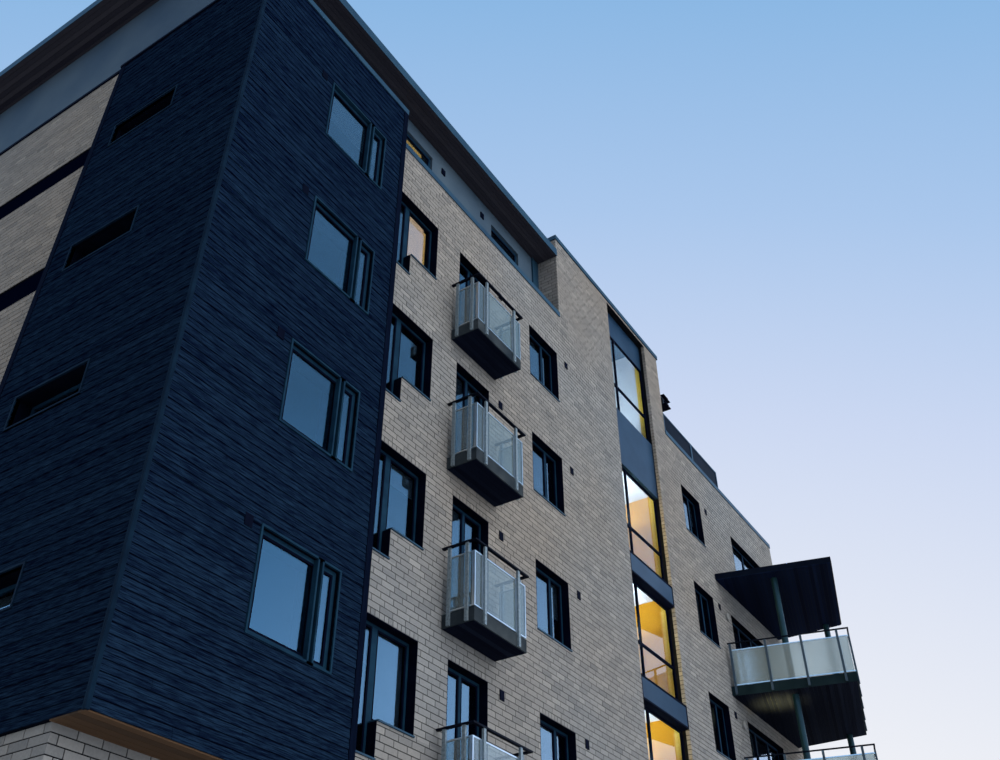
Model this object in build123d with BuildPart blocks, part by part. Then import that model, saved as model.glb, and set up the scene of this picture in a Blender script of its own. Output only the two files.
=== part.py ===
import os
from math import cos, radians, sin

from build123d import *

os.makedirs("parts", exist_ok=True)


def span_after(edge, gap, width):
    """A span of the given width that starts a gap after an edge."""
    return (edge + gap, edge + gap + width)


# Storeys, measured from the ground
storey = 3000
storeys = 6
slab = 250
wall = 380
parapet_height = 520
coping_height = 140
coping_proud = 30
coping_joint = 5
floors = [storey * level for level in range(storeys)]
upper_floors = [floor + storey for floor in floors]
roof_deck = upper_floors[-1]
brick_top = roof_deck + parapet_height

# Corner bay in timber, which stands out from the brick
bay_width = 3785
bay_front_proud = 530
bay_side_proud = 50
bay_side_length = 3345
bay_drop = 695
bay_first_floor = 2
soffit_boards = 40
bay_wall = wall + bay_side_proud
bay_bottom = floors[bay_first_floor] - bay_drop
bay_window_pier = 1755
bay_window_width = 1450
bay_narrow_light = 375
bay_window = span_after(0, bay_window_pier, bay_window_width)
bay_mullion = bay_window[1] - bay_narrow_light

# Piers and openings of the street front, from the bay to the wing
column_a_pier = 315
column_a_width = 1562
column_a_low_part = 733
door_pier = 778
door_width = 1127
column_w_pier = 1633
window_width = 1258
tower_pier = 228
tower_width = 5967
strip_pier = 2827
strip_width = 2319
wing_pier = 665
terrace_pier = 1224
top_window_pier = 2274
wide_window = 2600
end_pier = 1220

# The same as spans, measured from the brick's left face
column_a = span_after(bay_width, column_a_pier, column_a_width)
column_a_step = column_a[0] + column_a_low_part
door_column = span_after(column_a[1], door_pier, door_width)
column_w = span_after(door_column[1], column_w_pier, window_width)
tower = span_after(column_w[1], tower_pier, tower_width)
strip = span_after(tower[0], strip_pier, strip_width)
wing_column = span_after(tower[1], wing_pier, window_width)
terrace_doors = span_after(wing_column[1], terrace_pier, wide_window)
top_window = span_after(wing_column[1], top_window_pier, wide_window)

# Block: the origin is the middle of the brick footprint at ground level, the street front faces -Y
block_length = top_window[1] + end_pier
block_depth = 11500
left_face = -block_length / 2
front_face = -block_depth / 2

# Heights above each floor
sill = 745
head = 2200
low_sill = 210
bay_sill = 762
bay_head = 2138
strip_sill = 821
strip_head = 1344
strip_window = (1273, 2780)
door_threshold = 20

# Window joinery
reveal = 150
bay_reveal = 40
strip_reveal = 240
frame_face = 60
frame_depth = 70
glass_thickness = 28
glass_set = (frame_depth - glass_thickness) / 2
mullion_from_right = 470
door_leaf = 900
sill_height = 25
sill_proud = 35

# Dark bands in the brick of the side wall
band_length = 4200
band_recess = 60
band_board = 40

# Stair tower and its glazed strip
tower_depth = 6000
tower_wall = 300
tower_rise = 3260
tower_brick_top = roof_deck + tower_rise
tower_cap_height = 155
tower_cap_proud = 40
strip_top = tower_brick_top - 60
glazing_setback = 170
glazing_depth = 70
spandrel_bottom = 830
spandrel_height = 530
high_spandrel_bottom = floors[-1] + 970
high_spandrel_height = 1730
high_spandrel_setback = 100
top_panel_height = 850
strip_mullion = 587
strip_transom = 940
entrance_head = 2450
entrance_leaf_frame = 90

# Stair shaft behind the strip, a little wider than the glass
shaft_margin = 200
shaft_wall = 200
shaft_cavity = 100
shaft = (strip[0] - shaft_margin, strip[1] + shaft_margin)
shaft_rear = tower_depth - tower_wall - shaft_cavity - shaft_wall
flat_door_width = 900
flat_door_height = 2050
flat_door_margin = 250
flat_door = (shaft_rear - flat_door_margin - flat_door_width, shaft_rear - flat_door_margin)

# Stair: two flights a storey, with landings at the street side half a storey up
risers = 9
riser = storey / 2 / risers
going = 260
stair_waist = 180
flight_gap = 120
tread_gap = 5
stair_rail_height = 900
stair_rail_size = 45
stair_rail_inset = 40
stair_post_steps = (2, 5, 8)
ground_floor_height = riser
flight_width = (shaft[1] - shaft[0] - flight_gap) / 2
flight_run = (risers - 1) * going
landing_depth = (shaft_rear - wall - flight_run) / 2

# Set-back top storey and its roof
penthouse_setback = 570
penthouse_wall = 250
penthouse_height = 2650
penthouse_top = roof_deck + penthouse_height
roof_thickness = 180
roof_left_overhang = 630
roof_front_overhang = 600
roof_edge_rise = 40
roof_edge_width = 150
penthouse_pier_a = 915
penthouse_width_a = 1360
penthouse_pier_b = 2440
penthouse_width_b = 1240
penthouse_window_a = span_after(bay_width, penthouse_pier_a, penthouse_width_a)
penthouse_window_b = span_after(penthouse_window_a[1], penthouse_pier_b, penthouse_width_b)
penthouse_head = roof_deck + 2230
penthouse_sill = roof_deck + 900
penthouse_frame_set = 60

# Small balconies in front of the doors
balcony_margin = 205
balcony = (door_column[0] - balcony_margin, door_column[1] + balcony_margin)
balcony_depth = 640
balcony_slab = 230
balcony_drop = 150
post_width = 60
post_depth = 40
post_foot_rise = 10
post_inset = 265
side_post_wall = 150
side_post_front = 500
rail_top = 1030
rail_height = 30
rail_width = 60
rail_joint = 5
panel_frame = 25
panel_top = 840
panel_lift = 20
panel_glass = 10
panel_gap = 60
panel_joint = 5
side_panel_wall = 110

# Large corner balconies of the wing, with a canopy over the top one
corner_left_margin = 820
corner_right_margin = 1400
corner = (terrace_doors[0] - corner_left_margin, terrace_doors[1] + corner_right_margin)
corner_right_depth = 2010
corner_skew = 14.5
corner_first_floor = 1
corner_floors = 4
corner_levels = floors[corner_first_floor:corner_first_floor + corner_floors]
canopy_rise = 100
canopy_thickness = 170
canopy_top = corner_levels[-1] + storey + canopy_rise
column_radius = 85
left_column = (820, 1400)
right_column = (250, 1600)
corner_posts = 4
corner_wall_inset = 130
corner_edge_inset = 270
corner_rail_gap = 65
corner_rail_joint = 20
corner_panel_gap = 40

# Roof terrace railing of the wing
terrace_rail_length = 3850
terrace_rail_height = 640
terrace_rail_bar = 50
terrace_rail_depth = 40
terrace_panel = 12

# Plain windows of the rear wall
rear_columns = 5

# Vent covers: a height over the floor, and gaps to the windows that they serve
vent_width = 130
vent_height = 170
vent_depth = 25
vent_level = 2020
vent_gap = 350
bay_vent_gap = 180

# Lamps beside the terrace doors, and one on an arm at the corner of the tower
lamp_radius = 100
lamp_depth = 70
lamp_level = 1970
lamp_gap = 380
tower_lamp_level = roof_deck + 1950
tower_lamp_arm = (40, 90)
tower_lamp_reach = 560
tower_lamp_length = 300
tower_lamp_height = 150


def along(distance):
    """X of a point on the front, so far from the brick's left face."""
    return left_face + distance


def shifted(span):
    """A span from the left face, as X values."""
    return (along(span[0]), along(span[1]))


def front_plane(distance):
    """Plane parallel to the front, so far behind the brick's front face."""
    return Plane.XZ.offset(-(front_face + distance))


def side_plane(distance):
    """Plane parallel to the left side, so far inside the brick's left face."""
    return Plane.YZ.offset(left_face + distance)


def patch(x_low, x_high, y_low, y_high, mode=Mode.ADD):
    """Rectangle of the sketch between two edges each way."""
    with Locations(((x_low + x_high) / 2, (y_low + y_high) / 2)):
        Rectangle(x_high - x_low, y_high - y_low, mode=mode)


def front_patch(span, low, high, mode=Mode.ADD):
    """Rectangle on the front: a span from the left face, and two heights."""
    patch(*shifted(span), low, high, mode)


def side_patch(span, low, high, mode=Mode.ADD):
    """Rectangle on a side wall: a span from the front face, and two heights."""
    patch(front_face + span[0], front_face + span[1], low, high, mode)


def plan_patch(x_span, y_span, mode=Mode.ADD):
    """Rectangle in plan: spans from the left face and from the front face."""
    patch(*shifted(x_span), front_face + y_span[0], front_face + y_span[1], mode)


def ring(x_low, x_high, y_low, y_high, width):
    """Rectangular ring of the sketch."""
    patch(x_low, x_high, y_low, y_high)
    patch(x_low + width, x_high - width, y_low + width, y_high - width, Mode.SUBTRACT)


def lights(span, low, high, splits):
    """Spans and heights of the panes between a frame's bars, left to right."""
    edges = [span[0] + frame_face / 2, *splits, span[1] - frame_face / 2]
    return [(left + frame_face / 2, right - frame_face / 2, low + frame_face, high - frame_face)
            for left, right in zip(edges, edges[1:])]


def frame_on(span, low, high, splits=()):
    """Frame of one window in the sketch, with a mullion at each split."""
    patch(*span, low, high)
    for left, right, bottom, top in lights(span, low, high, splits):
        patch(left, right, bottom, top, Mode.SUBTRACT)


def panes_on(span, low, high, splits=()):
    """Panes of one window in the sketch."""
    for left, right, bottom, top in lights(span, low, high, splits):
        patch(left, right, bottom, top)


def save(builder, label):
    """Label a finished piece and write it to its own file."""
    builder.part.label = label
    export_step(builder.part, f"parts/{label}.step")


# Windows as X span, low edge, high edge and mullions, storey by storey
balcony_floors = floors[bay_first_floor:]


def main_windows(floor):
    """Windows of the brick front between the bay and the tower, on one storey."""
    door_low = floor + (door_threshold if floor in balcony_floors else sill)
    column_w_span = shifted(column_w)
    door_span = shifted(door_column)
    return [(shifted((column_a[0], column_a_step)), floor + low_sill, floor + head, ()),
            (shifted((column_a_step, column_a[1])), floor + sill, floor + head, ()),
            (door_span, door_low, floor + head, (sum(door_span) / 2,)),
            (column_w_span, floor + sill, floor + head, (column_w_span[1] - mullion_from_right,))]


def wing_windows(floor):
    """Windows of the wing's front on one storey: doors where it has a corner balcony."""
    narrow_span = shifted(wing_column)
    narrow = (narrow_span, floor + sill, floor + head, (narrow_span[1] - mullion_from_right,))
    if floor in corner_levels:
        wide_span = shifted(terrace_doors)
        splits = (wide_span[0] + door_leaf, wide_span[0] + 2 * door_leaf)
        return [narrow, (wide_span, floor + door_threshold, floor + head, splits)]
    wide_span = shifted(terrace_doors if floor == floors[0] else top_window)
    return [narrow, (wide_span, floor + sill, floor + head, (sum(wide_span) / 2,))]


lower_windows = [window for floor in floors[:bay_first_floor] for window in main_windows(floor)]
upper_windows = [window for floor in floors[bay_first_floor:] for window in main_windows(floor)]
all_wing_windows = [window for floor in floors for window in wing_windows(floor)]
bay_windows = [(shifted(bay_window), floor + bay_sill, floor + bay_head, (along(bay_mullion),))
               for floor in floors[bay_first_floor:]]
bay_strips = [((front_face + strip_window[0], front_face + strip_window[1]), floor + strip_sill,
               floor + strip_head) for floor in floors[bay_first_floor:]]
penthouse_windows = [(shifted(span), penthouse_sill, penthouse_head)
                     for span in (penthouse_window_a, penthouse_window_b)]
rear_pitch = block_length / rear_columns
rear_windows = [((along(rear_pitch * (column + 0.5)) - window_width / 2,
                  along(rear_pitch * (column + 0.5)) + window_width / 2), floor + sill, floor + head)
                for floor in floors for column in range(rear_columns)]

# Street walls of the main part
lower_wall_top = floors[bay_first_floor] - slab

with BuildPart() as front_wall_lower:
    with BuildSketch(front_plane(0)):
        front_patch((0, tower[0]), 0, lower_wall_top)
        front_patch((0, wall), bay_bottom, lower_wall_top, Mode.SUBTRACT)
        for span, low, high, splits in lower_windows:
            patch(*span, low, high, Mode.SUBTRACT)
    extrude(amount=-wall)
save(front_wall_lower, "front_wall_lower")

with BuildPart() as front_wall_upper:
    with BuildSketch(front_plane(0)):
        front_patch((bay_width, tower[0]), lower_wall_top, brick_top)
        for span, low, high, splits in upper_windows:
            patch(*span, low, high, Mode.SUBTRACT)
    extrude(amount=-wall)
save(front_wall_upper, "front_wall_upper")

# Side wall of the main part, full length below the bay, with dark bands let into the brick
bands = [(floor + strip_sill, floor + strip_head) for floor in floors[bay_first_floor - 1:]]
band_span = (bay_side_length, bay_side_length + band_length)

with BuildPart() as left_wall:
    with BuildSketch(side_plane(0)):
        side_patch((wall, block_depth - wall), 0, bay_bottom)
        side_patch((bay_side_length, block_depth - wall), bay_bottom, brick_top)
    extrude(amount=wall)
    with BuildSketch(side_plane(0)):
        for low, high in bands:
            side_patch(band_span, low, high)
    extrude(amount=band_recess, mode=Mode.SUBTRACT)
save(left_wall, "left_wall")

with BuildPart() as band_boards:
    with BuildSketch(side_plane(band_recess)):
        for low, high in bands:
            side_patch(band_span, low, high)
    extrude(amount=-band_board)
save(band_boards, "side_band_boards")

# Rear wall with plain repeated windows
with BuildPart() as rear_wall:
    with BuildSketch(front_plane(block_depth - wall)):
        front_patch((0, block_length), 0, brick_top)
        for span, low, high in rear_windows:
            patch(*span, low, high, Mode.SUBTRACT)
    extrude(amount=-wall)
save(rear_wall, "rear_wall")

# Wing walls
with BuildPart() as wing_front_wall:
    with BuildSketch(front_plane(0)):
        front_patch((tower[1], block_length), 0, brick_top)
        for span, low, high, splits in all_wing_windows:
            patch(*span, low, high, Mode.SUBTRACT)
    extrude(amount=-wall)
save(wing_front_wall, "wing_front_wall")

with BuildPart() as wing_end_wall:
    with BuildSketch(side_plane(block_length - wall)):
        side_patch((wall, block_depth - wall), 0, brick_top)
    extrude(amount=wall)
save(wing_end_wall, "wing_end_wall")

# Stair tower walls: the front one runs up from the ground, the others stand on the roof deck
with BuildPart() as tower_front_wall:
    with BuildSketch(front_plane(0)):
        front_patch(tower, 0, tower_brick_top)
        front_patch(strip, ground_floor_height, strip_top, Mode.SUBTRACT)
    extrude(amount=-wall)
save(tower_front_wall, "tower_front_wall")

with BuildPart() as tower_side_walls:
    for start in (tower[0], tower[1] - tower_wall):
        with BuildSketch(side_plane(start)):
            side_patch((wall, tower_depth), roof_deck, tower_brick_top)
            if start == tower[0]:
                side_patch(flat_door, roof_deck, roof_deck + flat_door_height, Mode.SUBTRACT)
        extrude(amount=tower_wall)
save(tower_side_walls, "tower_side_walls")

with BuildPart() as tower_rear_wall:
    with BuildSketch(front_plane(tower_depth - tower_wall)):
        front_patch((tower[0] + tower_wall, tower[1] - tower_wall), roof_deck, tower_brick_top)
    extrude(amount=-tower_wall)
save(tower_rear_wall, "tower_rear_wall")

with BuildPart() as tower_cap:
    with BuildSketch(Plane.XY.offset(tower_brick_top)):
        plan_patch((tower[0] - tower_cap_proud, tower[1] + tower_cap_proud),
                   (-tower_cap_proud, tower_depth + tower_cap_proud))
    extrude(amount=tower_cap_height)
    chamfer(tower_cap.edges().group_by(Axis.Z)[-1], length=tower_cap_proud / 2)
save(tower_cap, "tower_cap")

# Stair shaft walls, with a doorway to each side at every floor landing
with BuildPart() as stair_side_walls:
    for start in (shaft[0] - shaft_wall, shaft[1]):
        with BuildSketch(side_plane(start)):
            side_patch((wall, shaft_rear), ground_floor_height, tower_brick_top)
            for floor in [*floors, roof_deck]:
                threshold = max(floor, ground_floor_height)
                side_patch(flat_door, threshold, floor + flat_door_height, Mode.SUBTRACT)
        extrude(amount=shaft_wall)
save(stair_side_walls, "stair_side_walls")

with BuildPart() as stair_rear_wall:
    with BuildSketch(front_plane(shaft_rear)):
        front_patch((shaft[0] - shaft_wall, shaft[1] + shaft_wall), ground_floor_height, tower_brick_top)
    extrude(amount=-shaft_wall)
save(stair_rear_wall, "stair_rear_wall")

# Stair: the flight of even number climbs to the street side on the left, the odd one climbs back
half_levels = [level * storey / 2 for level in range(2 * storeys)]
flights = []
for number, level in enumerate(half_levels):
    if number % 2 == 0:
        flights.append((level, shaft_rear - landing_depth, -1, shaft[0]))
    else:
        flights.append((level, wall + landing_depth, 1, shaft[1] - flight_width))


def pitch_point(level, start, direction, step):
    """Point of a flight's pitch line, so many steps up from its foot."""
    return (front_face + start + direction * going * step, level + riser * step)


def dropped(point, height):
    """The same point, so much lower."""
    return (point[0], point[1] - height)


with BuildPart() as stair_flights:
    for level, start, direction, x_low in flights:
        foot = pitch_point(level, start, direction, 0)
        top = pitch_point(level, start, direction, risers - 1)
        with BuildSketch(side_plane(x_low)):
            Polygon(foot, top, dropped(top, stair_waist), dropped(foot, stair_waist), align=None)
            side_patch((0, shaft_rear), -stair_waist, ground_floor_height, Mode.SUBTRACT)
        extrude(amount=flight_width)
save(stair_flights, "stair_flights")

with BuildPart() as stair_treads:
    for level, start, direction, x_low in flights:
        with BuildSketch(side_plane(x_low)):
            for step in range(2 if level == 0 else 1, risers):
                nose = pitch_point(level, start, direction, step - 1 + tread_gap / going)
                back = pitch_point(level, start, direction, step)
                Polygon(nose, (nose[0], back[1]), back, align=None)
        extrude(amount=flight_width)
save(stair_treads, "stair_treads")

with BuildPart() as stair_landings:
    for level in half_levels[1:] + [roof_deck]:
        street_side = level % storey != 0
        start = wall if street_side else shaft_rear - landing_depth
        with BuildSketch(Plane.XY.offset(level - slab)):
            plan_patch(shaft, (start, start + landing_depth))
        extrude(amount=slab)
save(stair_landings, "stair_landings")

# Handrail of each flight, on the side of the stairwell, with posts on the treads
with BuildPart() as stair_handrails:
    for level, start, direction, x_low in flights:
        low_end = pitch_point(level, start, direction, 1)
        high_end = pitch_point(level, start, direction, risers - 1)
        left_side = direction < 0
        rail_x = x_low + flight_width - stair_rail_inset - stair_rail_size if left_side \
            else x_low + stair_rail_inset
        with BuildSketch(side_plane(rail_x)):
            Polygon(dropped(low_end, -stair_rail_height), dropped(high_end, -stair_rail_height),
                    dropped(high_end, stair_rail_size - stair_rail_height),
                    dropped(low_end, stair_rail_size - stair_rail_height), align=None)
            for step in stair_post_steps:
                middle, tread = pitch_point(level, start, direction, step - 0.5)
                patch(middle - stair_rail_size / 2, middle + stair_rail_size / 2,
                      level + riser * step, tread + stair_rail_height)
        extrude(amount=stair_rail_size)
save(stair_handrails, "stair_handrails")

# Floors
with BuildPart() as ground_floor:
    with BuildSketch(Plane.XY):
        plan_patch((wall, block_length - wall), (wall, block_depth - wall))
    extrude(amount=ground_floor_height)
save(ground_floor, "ground_floor")

with BuildPart() as main_floors:
    for level in upper_floors:
        with BuildSketch(Plane.XY.offset(level - slab)):
            plan_patch((wall, shaft[0] - shaft_wall), (wall, block_depth - wall))
        extrude(amount=slab)
save(main_floors, "main_floors")

with BuildPart() as back_floors:
    for level in upper_floors:
        with BuildSketch(Plane.XY.offset(level - slab)):
            plan_patch((shaft[0] - shaft_wall, shaft[1] + shaft_wall),
                       (shaft_rear + shaft_wall, block_depth - wall))
        extrude(amount=slab)
save(back_floors, "back_floors")

with BuildPart() as wing_floors:
    for level in upper_floors:
        with BuildSketch(Plane.XY.offset(level - slab)):
            plan_patch((shaft[1] + shaft_wall, block_length - wall), (wall, block_depth - wall))
        extrude(amount=slab)
save(wing_floors, "wing_floors")

# Timber bay
bay_inner_front = bay_wall - bay_front_proud

with BuildPart() as bay_front_wall:
    with BuildSketch(front_plane(-bay_front_proud)):
        front_patch((-bay_side_proud, bay_width), bay_bottom + soffit_boards, brick_top)
        for span, low, high, splits in bay_windows:
            patch(*span, low, high, Mode.SUBTRACT)
    extrude(amount=-bay_wall)
save(bay_front_wall, "bay_front_wall")

with BuildPart() as bay_side_walls:
    with BuildSketch(side_plane(-bay_side_proud)):
        side_patch((bay_inner_front, bay_side_length), bay_bottom, brick_top)
        side_patch((bay_inner_front, 0), bay_bottom, bay_bottom + soffit_boards, Mode.SUBTRACT)
        for span, low, high in bay_strips:
            patch(*span, low, high, Mode.SUBTRACT)
    extrude(amount=bay_wall)
    with BuildSketch(side_plane(bay_width - bay_wall)):
        side_patch((bay_inner_front, 0), bay_bottom + soffit_boards, brick_top)
        side_patch((0, wall), lower_wall_top, brick_top)
    extrude(amount=bay_wall)
save(bay_side_walls, "bay_side_walls")

with BuildPart() as bay_soffit:
    with BuildSketch(Plane.XY.offset(bay_bottom)):
        plan_patch((-bay_side_proud, bay_width), (-bay_front_proud, 0))
    extrude(amount=soffit_boards)
save(bay_soffit, "bay_soffit")

with BuildPart() as bay_floors:
    for level in upper_floors[bay_first_floor - 1:]:
        with BuildSketch(Plane.XY.offset(level - slab)):
            plan_patch((wall, bay_width - bay_wall), (bay_inner_front, wall))
        extrude(amount=slab)
save(bay_floors, "bay_floors")

# Copings on the parapets, in lengths with a narrow joint between them
bay_coping_right = bay_width + coping_proud
end_coping_left = block_length - wall - coping_proud
rear_coping_front = block_depth - wall - coping_proud

with BuildPart() as copings:
    with BuildSketch(Plane.XY.offset(brick_top)):
        plan_patch((-bay_side_proud - coping_proud, bay_coping_right),
                   (-bay_front_proud - coping_proud, bay_inner_front + coping_proud))
        plan_patch((bay_coping_right + coping_joint, tower[0]), (-coping_proud, wall))
        plan_patch((tower[1], block_length + coping_proud), (-coping_proud, wall + coping_proud))
        plan_patch((end_coping_left, block_length + coping_proud),
                   (wall + coping_proud + coping_joint, rear_coping_front - coping_joint))
        plan_patch((0, block_length + coping_proud), (rear_coping_front, block_depth + coping_proud))
    extrude(amount=coping_height)
save(copings, "parapet_copings")

# Set-back top storey
penthouse_span = (0, tower[0])
penthouse_rear = block_depth - penthouse_setback


def penthouse_face():
    """Outline of a long wall of the set-back storey, which stands on the deck and on the parapets."""
    front_patch(penthouse_span, brick_top, penthouse_top)
    front_patch((wall, tower[0]), roof_deck, brick_top)
    for span, low, high in penthouse_windows:
        patch(*span, low, high, Mode.SUBTRACT)


with BuildPart() as penthouse_front_wall:
    with BuildSketch(front_plane(penthouse_setback)):
        penthouse_face()
    extrude(amount=-penthouse_wall)
save(penthouse_front_wall, "penthouse_front_wall")

with BuildPart() as penthouse_rear_wall:
    with BuildSketch(front_plane(penthouse_rear - penthouse_wall)):
        penthouse_face()
    extrude(amount=-penthouse_wall)
save(penthouse_rear_wall, "penthouse_rear_wall")

with BuildPart() as penthouse_side_walls:
    with BuildSketch(side_plane(0)):
        side_patch((penthouse_setback + penthouse_wall, penthouse_rear - penthouse_wall),
                   brick_top, penthouse_top)
    extrude(amount=penthouse_wall)
    with BuildSketch(side_plane(tower[0] - penthouse_wall)):
        side_patch((tower_depth, penthouse_rear - penthouse_wall), roof_deck, penthouse_top)
    extrude(amount=penthouse_wall)
save(penthouse_side_walls, "penthouse_side_walls")

# Roof of the top storey, with a raised edge round it
roof_x = (-roof_left_overhang, tower[0])
roof_y = (penthouse_setback - roof_front_overhang, penthouse_rear + roof_front_overhang)

with BuildPart() as penthouse_roof:
    with BuildSketch(Plane.XY.offset(penthouse_top)):
        plan_patch(roof_x, roof_y)
    extrude(amount=roof_thickness + roof_edge_rise)
    with BuildSketch(Plane.XY.offset(penthouse_top + roof_thickness)):
        plan_patch((roof_x[0] + roof_edge_width, roof_x[1] - roof_edge_width),
                   (roof_y[0] + roof_edge_width, roof_y[1] - roof_edge_width))
    extrude(amount=roof_edge_rise, mode=Mode.SUBTRACT)
save(penthouse_roof, "penthouse_roof")

# Window joinery: each row stands on a plane of its own
joinery = [
    (reveal, lower_windows + upper_windows + all_wing_windows),
    (bay_reveal - bay_front_proud, bay_windows),
    (penthouse_setback + penthouse_frame_set, penthouse_windows),
    (penthouse_rear - penthouse_frame_set - frame_depth, penthouse_windows),
    (block_depth - reveal - frame_depth, rear_windows),
]

with BuildPart() as window_frames:
    for start, windows in joinery:
        with BuildSketch(front_plane(start)):
            for window in windows:
                frame_on(*window)
        extrude(amount=-frame_depth)
    with BuildSketch(side_plane(strip_reveal - bay_side_proud)):
        for window in bay_strips:
            frame_on(*window)
    extrude(amount=frame_depth)
save(window_frames, "window_frames")

with BuildPart() as window_glass:
    for start, windows in joinery:
        with BuildSketch(front_plane(start + glass_set)):
            for window in windows:
                panes_on(*window)
        extrude(amount=-glass_thickness)
    with BuildSketch(side_plane(strip_reveal + glass_set - bay_side_proud)):
        for window in bay_strips:
            panes_on(*window)
    extrude(amount=glass_thickness)
save(window_glass, "window_glass")

# Sheet sills in front of the frames, from the frame's face to a little past the brick
with BuildPart() as window_sills:
    with BuildSketch(front_plane(-sill_proud)):
        for span, low, high, splits in joinery[0][1]:
            patch(*span, low, low + sill_height)
    extrude(amount=-(sill_proud + reveal))
    with BuildSketch(front_plane(block_depth - reveal)):
        for span, low, high in rear_windows:
            patch(*span, low, low + sill_height)
    extrude(amount=-(sill_proud + reveal))
save(window_sills, "window_sills")

# Glazed strip of the stair tower: lights between the spandrels, an entrance at the foot
spandrels = [(floor + spandrel_bottom, floor + spandrel_bottom + spandrel_height) for floor in floors[1:-1]]
high_spandrel = (high_spandrel_bottom, high_spandrel_bottom + high_spandrel_height)
top_panel_bottom = strip_top - top_panel_height
light_bottoms = [high for low, high in spandrels] + [high_spandrel[1]]
light_tops = [low for low, high in spandrels[1:]] + [high_spandrel[0], top_panel_bottom]
strip_span = shifted(strip)
mullion_x = along(strip[0] + strip_mullion)
entrance_top = spandrels[0][0]


def stair_lights(low, high, transom):
    """The four panes of one storey's light, either side of a mullion and a transom."""
    edges = (strip_span[0] + frame_face / 2, mullion_x, strip_span[1] - frame_face / 2)
    rows = ((low + frame_face, transom - frame_face / 2), (transom + frame_face / 2, high - frame_face))
    return [(left + frame_face / 2, right - frame_face / 2, *row)
            for left, right in zip(edges, edges[1:]) for row in rows]


stair_panes = [pane for low, high in zip(light_bottoms, light_tops)
               for pane in stair_lights(low, high, low + strip_transom)]
side_light, side_transom, doorway, door_transom = stair_lights(ground_floor_height, entrance_top,
                                                               entrance_head)
door_middle = (doorway[0] + doorway[1]) / 2
door_panes = [(left + entrance_leaf_frame, right - entrance_leaf_frame,
               doorway[2] + 2 * entrance_leaf_frame, doorway[3] - entrance_leaf_frame)
              for left, right in ((doorway[0], door_middle), (door_middle, doorway[1]))]

with BuildPart() as stair_window_frame:
    with BuildSketch(front_plane(glazing_setback)):
        patch(*strip_span, ground_floor_height, entrance_top)
        for low, high in zip(light_bottoms, light_tops):
            patch(*strip_span, low, high)
        for pane in [*stair_panes, side_light, side_transom, doorway, door_transom]:
            patch(*pane, Mode.SUBTRACT)
    extrude(amount=-glazing_depth)
save(stair_window_frame, "stair_window_frames")

with BuildPart() as entrance_doors:
    with BuildSketch(front_plane(glazing_setback)):
        patch(*doorway)
        for pane in door_panes:
            patch(*pane, Mode.SUBTRACT)
    extrude(amount=-glazing_depth)
save(entrance_doors, "entrance_doors")

with BuildPart() as stair_window_glass:
    with BuildSketch(front_plane(glazing_setback + glass_set)):
        for pane in [*stair_panes, side_light, side_transom, door_transom, *door_panes]:
            patch(*pane)
    extrude(amount=-glass_thickness)
save(stair_window_glass, "stair_window_glass")

with BuildPart() as stair_spandrels:
    with BuildSketch(front_plane(0)):
        for low, high in spandrels:
            patch(*strip_span, low, high)
    extrude(amount=-(glazing_setback + glazing_depth))
    with BuildSketch(front_plane(high_spandrel_setback)):
        patch(*strip_span, *high_spandrel)
    extrude(amount=-(glazing_setback + glazing_depth - high_spandrel_setback))
    with BuildSketch(front_plane(glazing_setback)):
        patch(*strip_span, top_panel_bottom, strip_top)
    extrude(amount=-glazing_depth)
save(stair_spandrels, "stair_spandrels")

# Corner balconies: the front edge is skewed to the street, the left side stands square to it
skew_cos = cos(radians(corner_skew))
skew_sin = sin(radians(corner_skew))
corner_width = corner[1] - corner[0]
side_length = corner_width * skew_sin + corner_right_depth * skew_cos
wall_left = Vector(along(corner[0]), front_face)
wall_right = Vector(along(corner[1]), front_face)
front_right = wall_right - Vector(0, corner_right_depth)
front_left = wall_left + Vector(skew_sin, -skew_cos) * side_length
corner_outline = [(point.X, point.Y) for point in (wall_left, front_left, front_right, wall_right)]

with BuildPart() as balcony_slabs:
    for floor in balcony_floors:
        with BuildSketch(Plane.XY.offset(floor - balcony_drop - balcony_slab)):
            plan_patch(balcony, (-balcony_depth, 0))
        extrude(amount=balcony_slab)
    for floor in corner_levels:
        with BuildSketch(Plane.XY.offset(floor - balcony_drop - balcony_slab)):
            Polygon(*corner_outline, align=None)
        extrude(amount=balcony_slab)
save(balcony_slabs, "balcony_slabs")

with BuildPart() as corner_canopy:
    with BuildSketch(Plane.XY.offset(canopy_top - canopy_thickness)):
        Polygon(*corner_outline, align=None)
    extrude(amount=canopy_thickness)
save(corner_canopy, "corner_canopy")

column_feet = [0] + [floor - balcony_drop for floor in corner_levels]
column_heads = [floor - balcony_drop - balcony_slab for floor in corner_levels]
column_heads.append(canopy_top - canopy_thickness)

with BuildPart() as corner_columns:
    for foot, top in zip(column_feet, column_heads):
        with BuildSketch(Plane.XY.offset(foot)):
            with Locations((along(corner[0] + left_column[0]), front_face - left_column[1]),
                           (along(corner[1] - right_column[0]), front_face - right_column[1])):
                Circle(column_radius)
        extrude(amount=top - foot)
save(corner_columns, "corner_columns")

# Railings of the corner balconies: each side has its own plane, with X along it and Y up
corner_sides = [(wall_left, front_left, corner_posts), (front_left, front_right, corner_posts + 1),
                (front_right, wall_right, corner_posts - 1)]
wall_ends = (wall_left, wall_right)


def railing_plane(start, end, level):
    """Plane along one side of a balcony: X from start to end, Y up, facing outwards."""
    outwards = Vector(0, 0, 1).cross(start - end)
    return Plane(origin=(start.X, start.Y, level), x_dir=end - start, z_dir=outwards)


def end_inset(point):
    """Distance from one end of a side to its nearest post."""
    return corner_wall_inset if point in wall_ends else corner_edge_inset


def post_places(start, end, count):
    """Distances of a side's posts from its start."""
    pitch = ((end - start).length - end_inset(start) - end_inset(end)) / (count - 1)
    return [end_inset(start) + pitch * number for number in range(count)]


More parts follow.
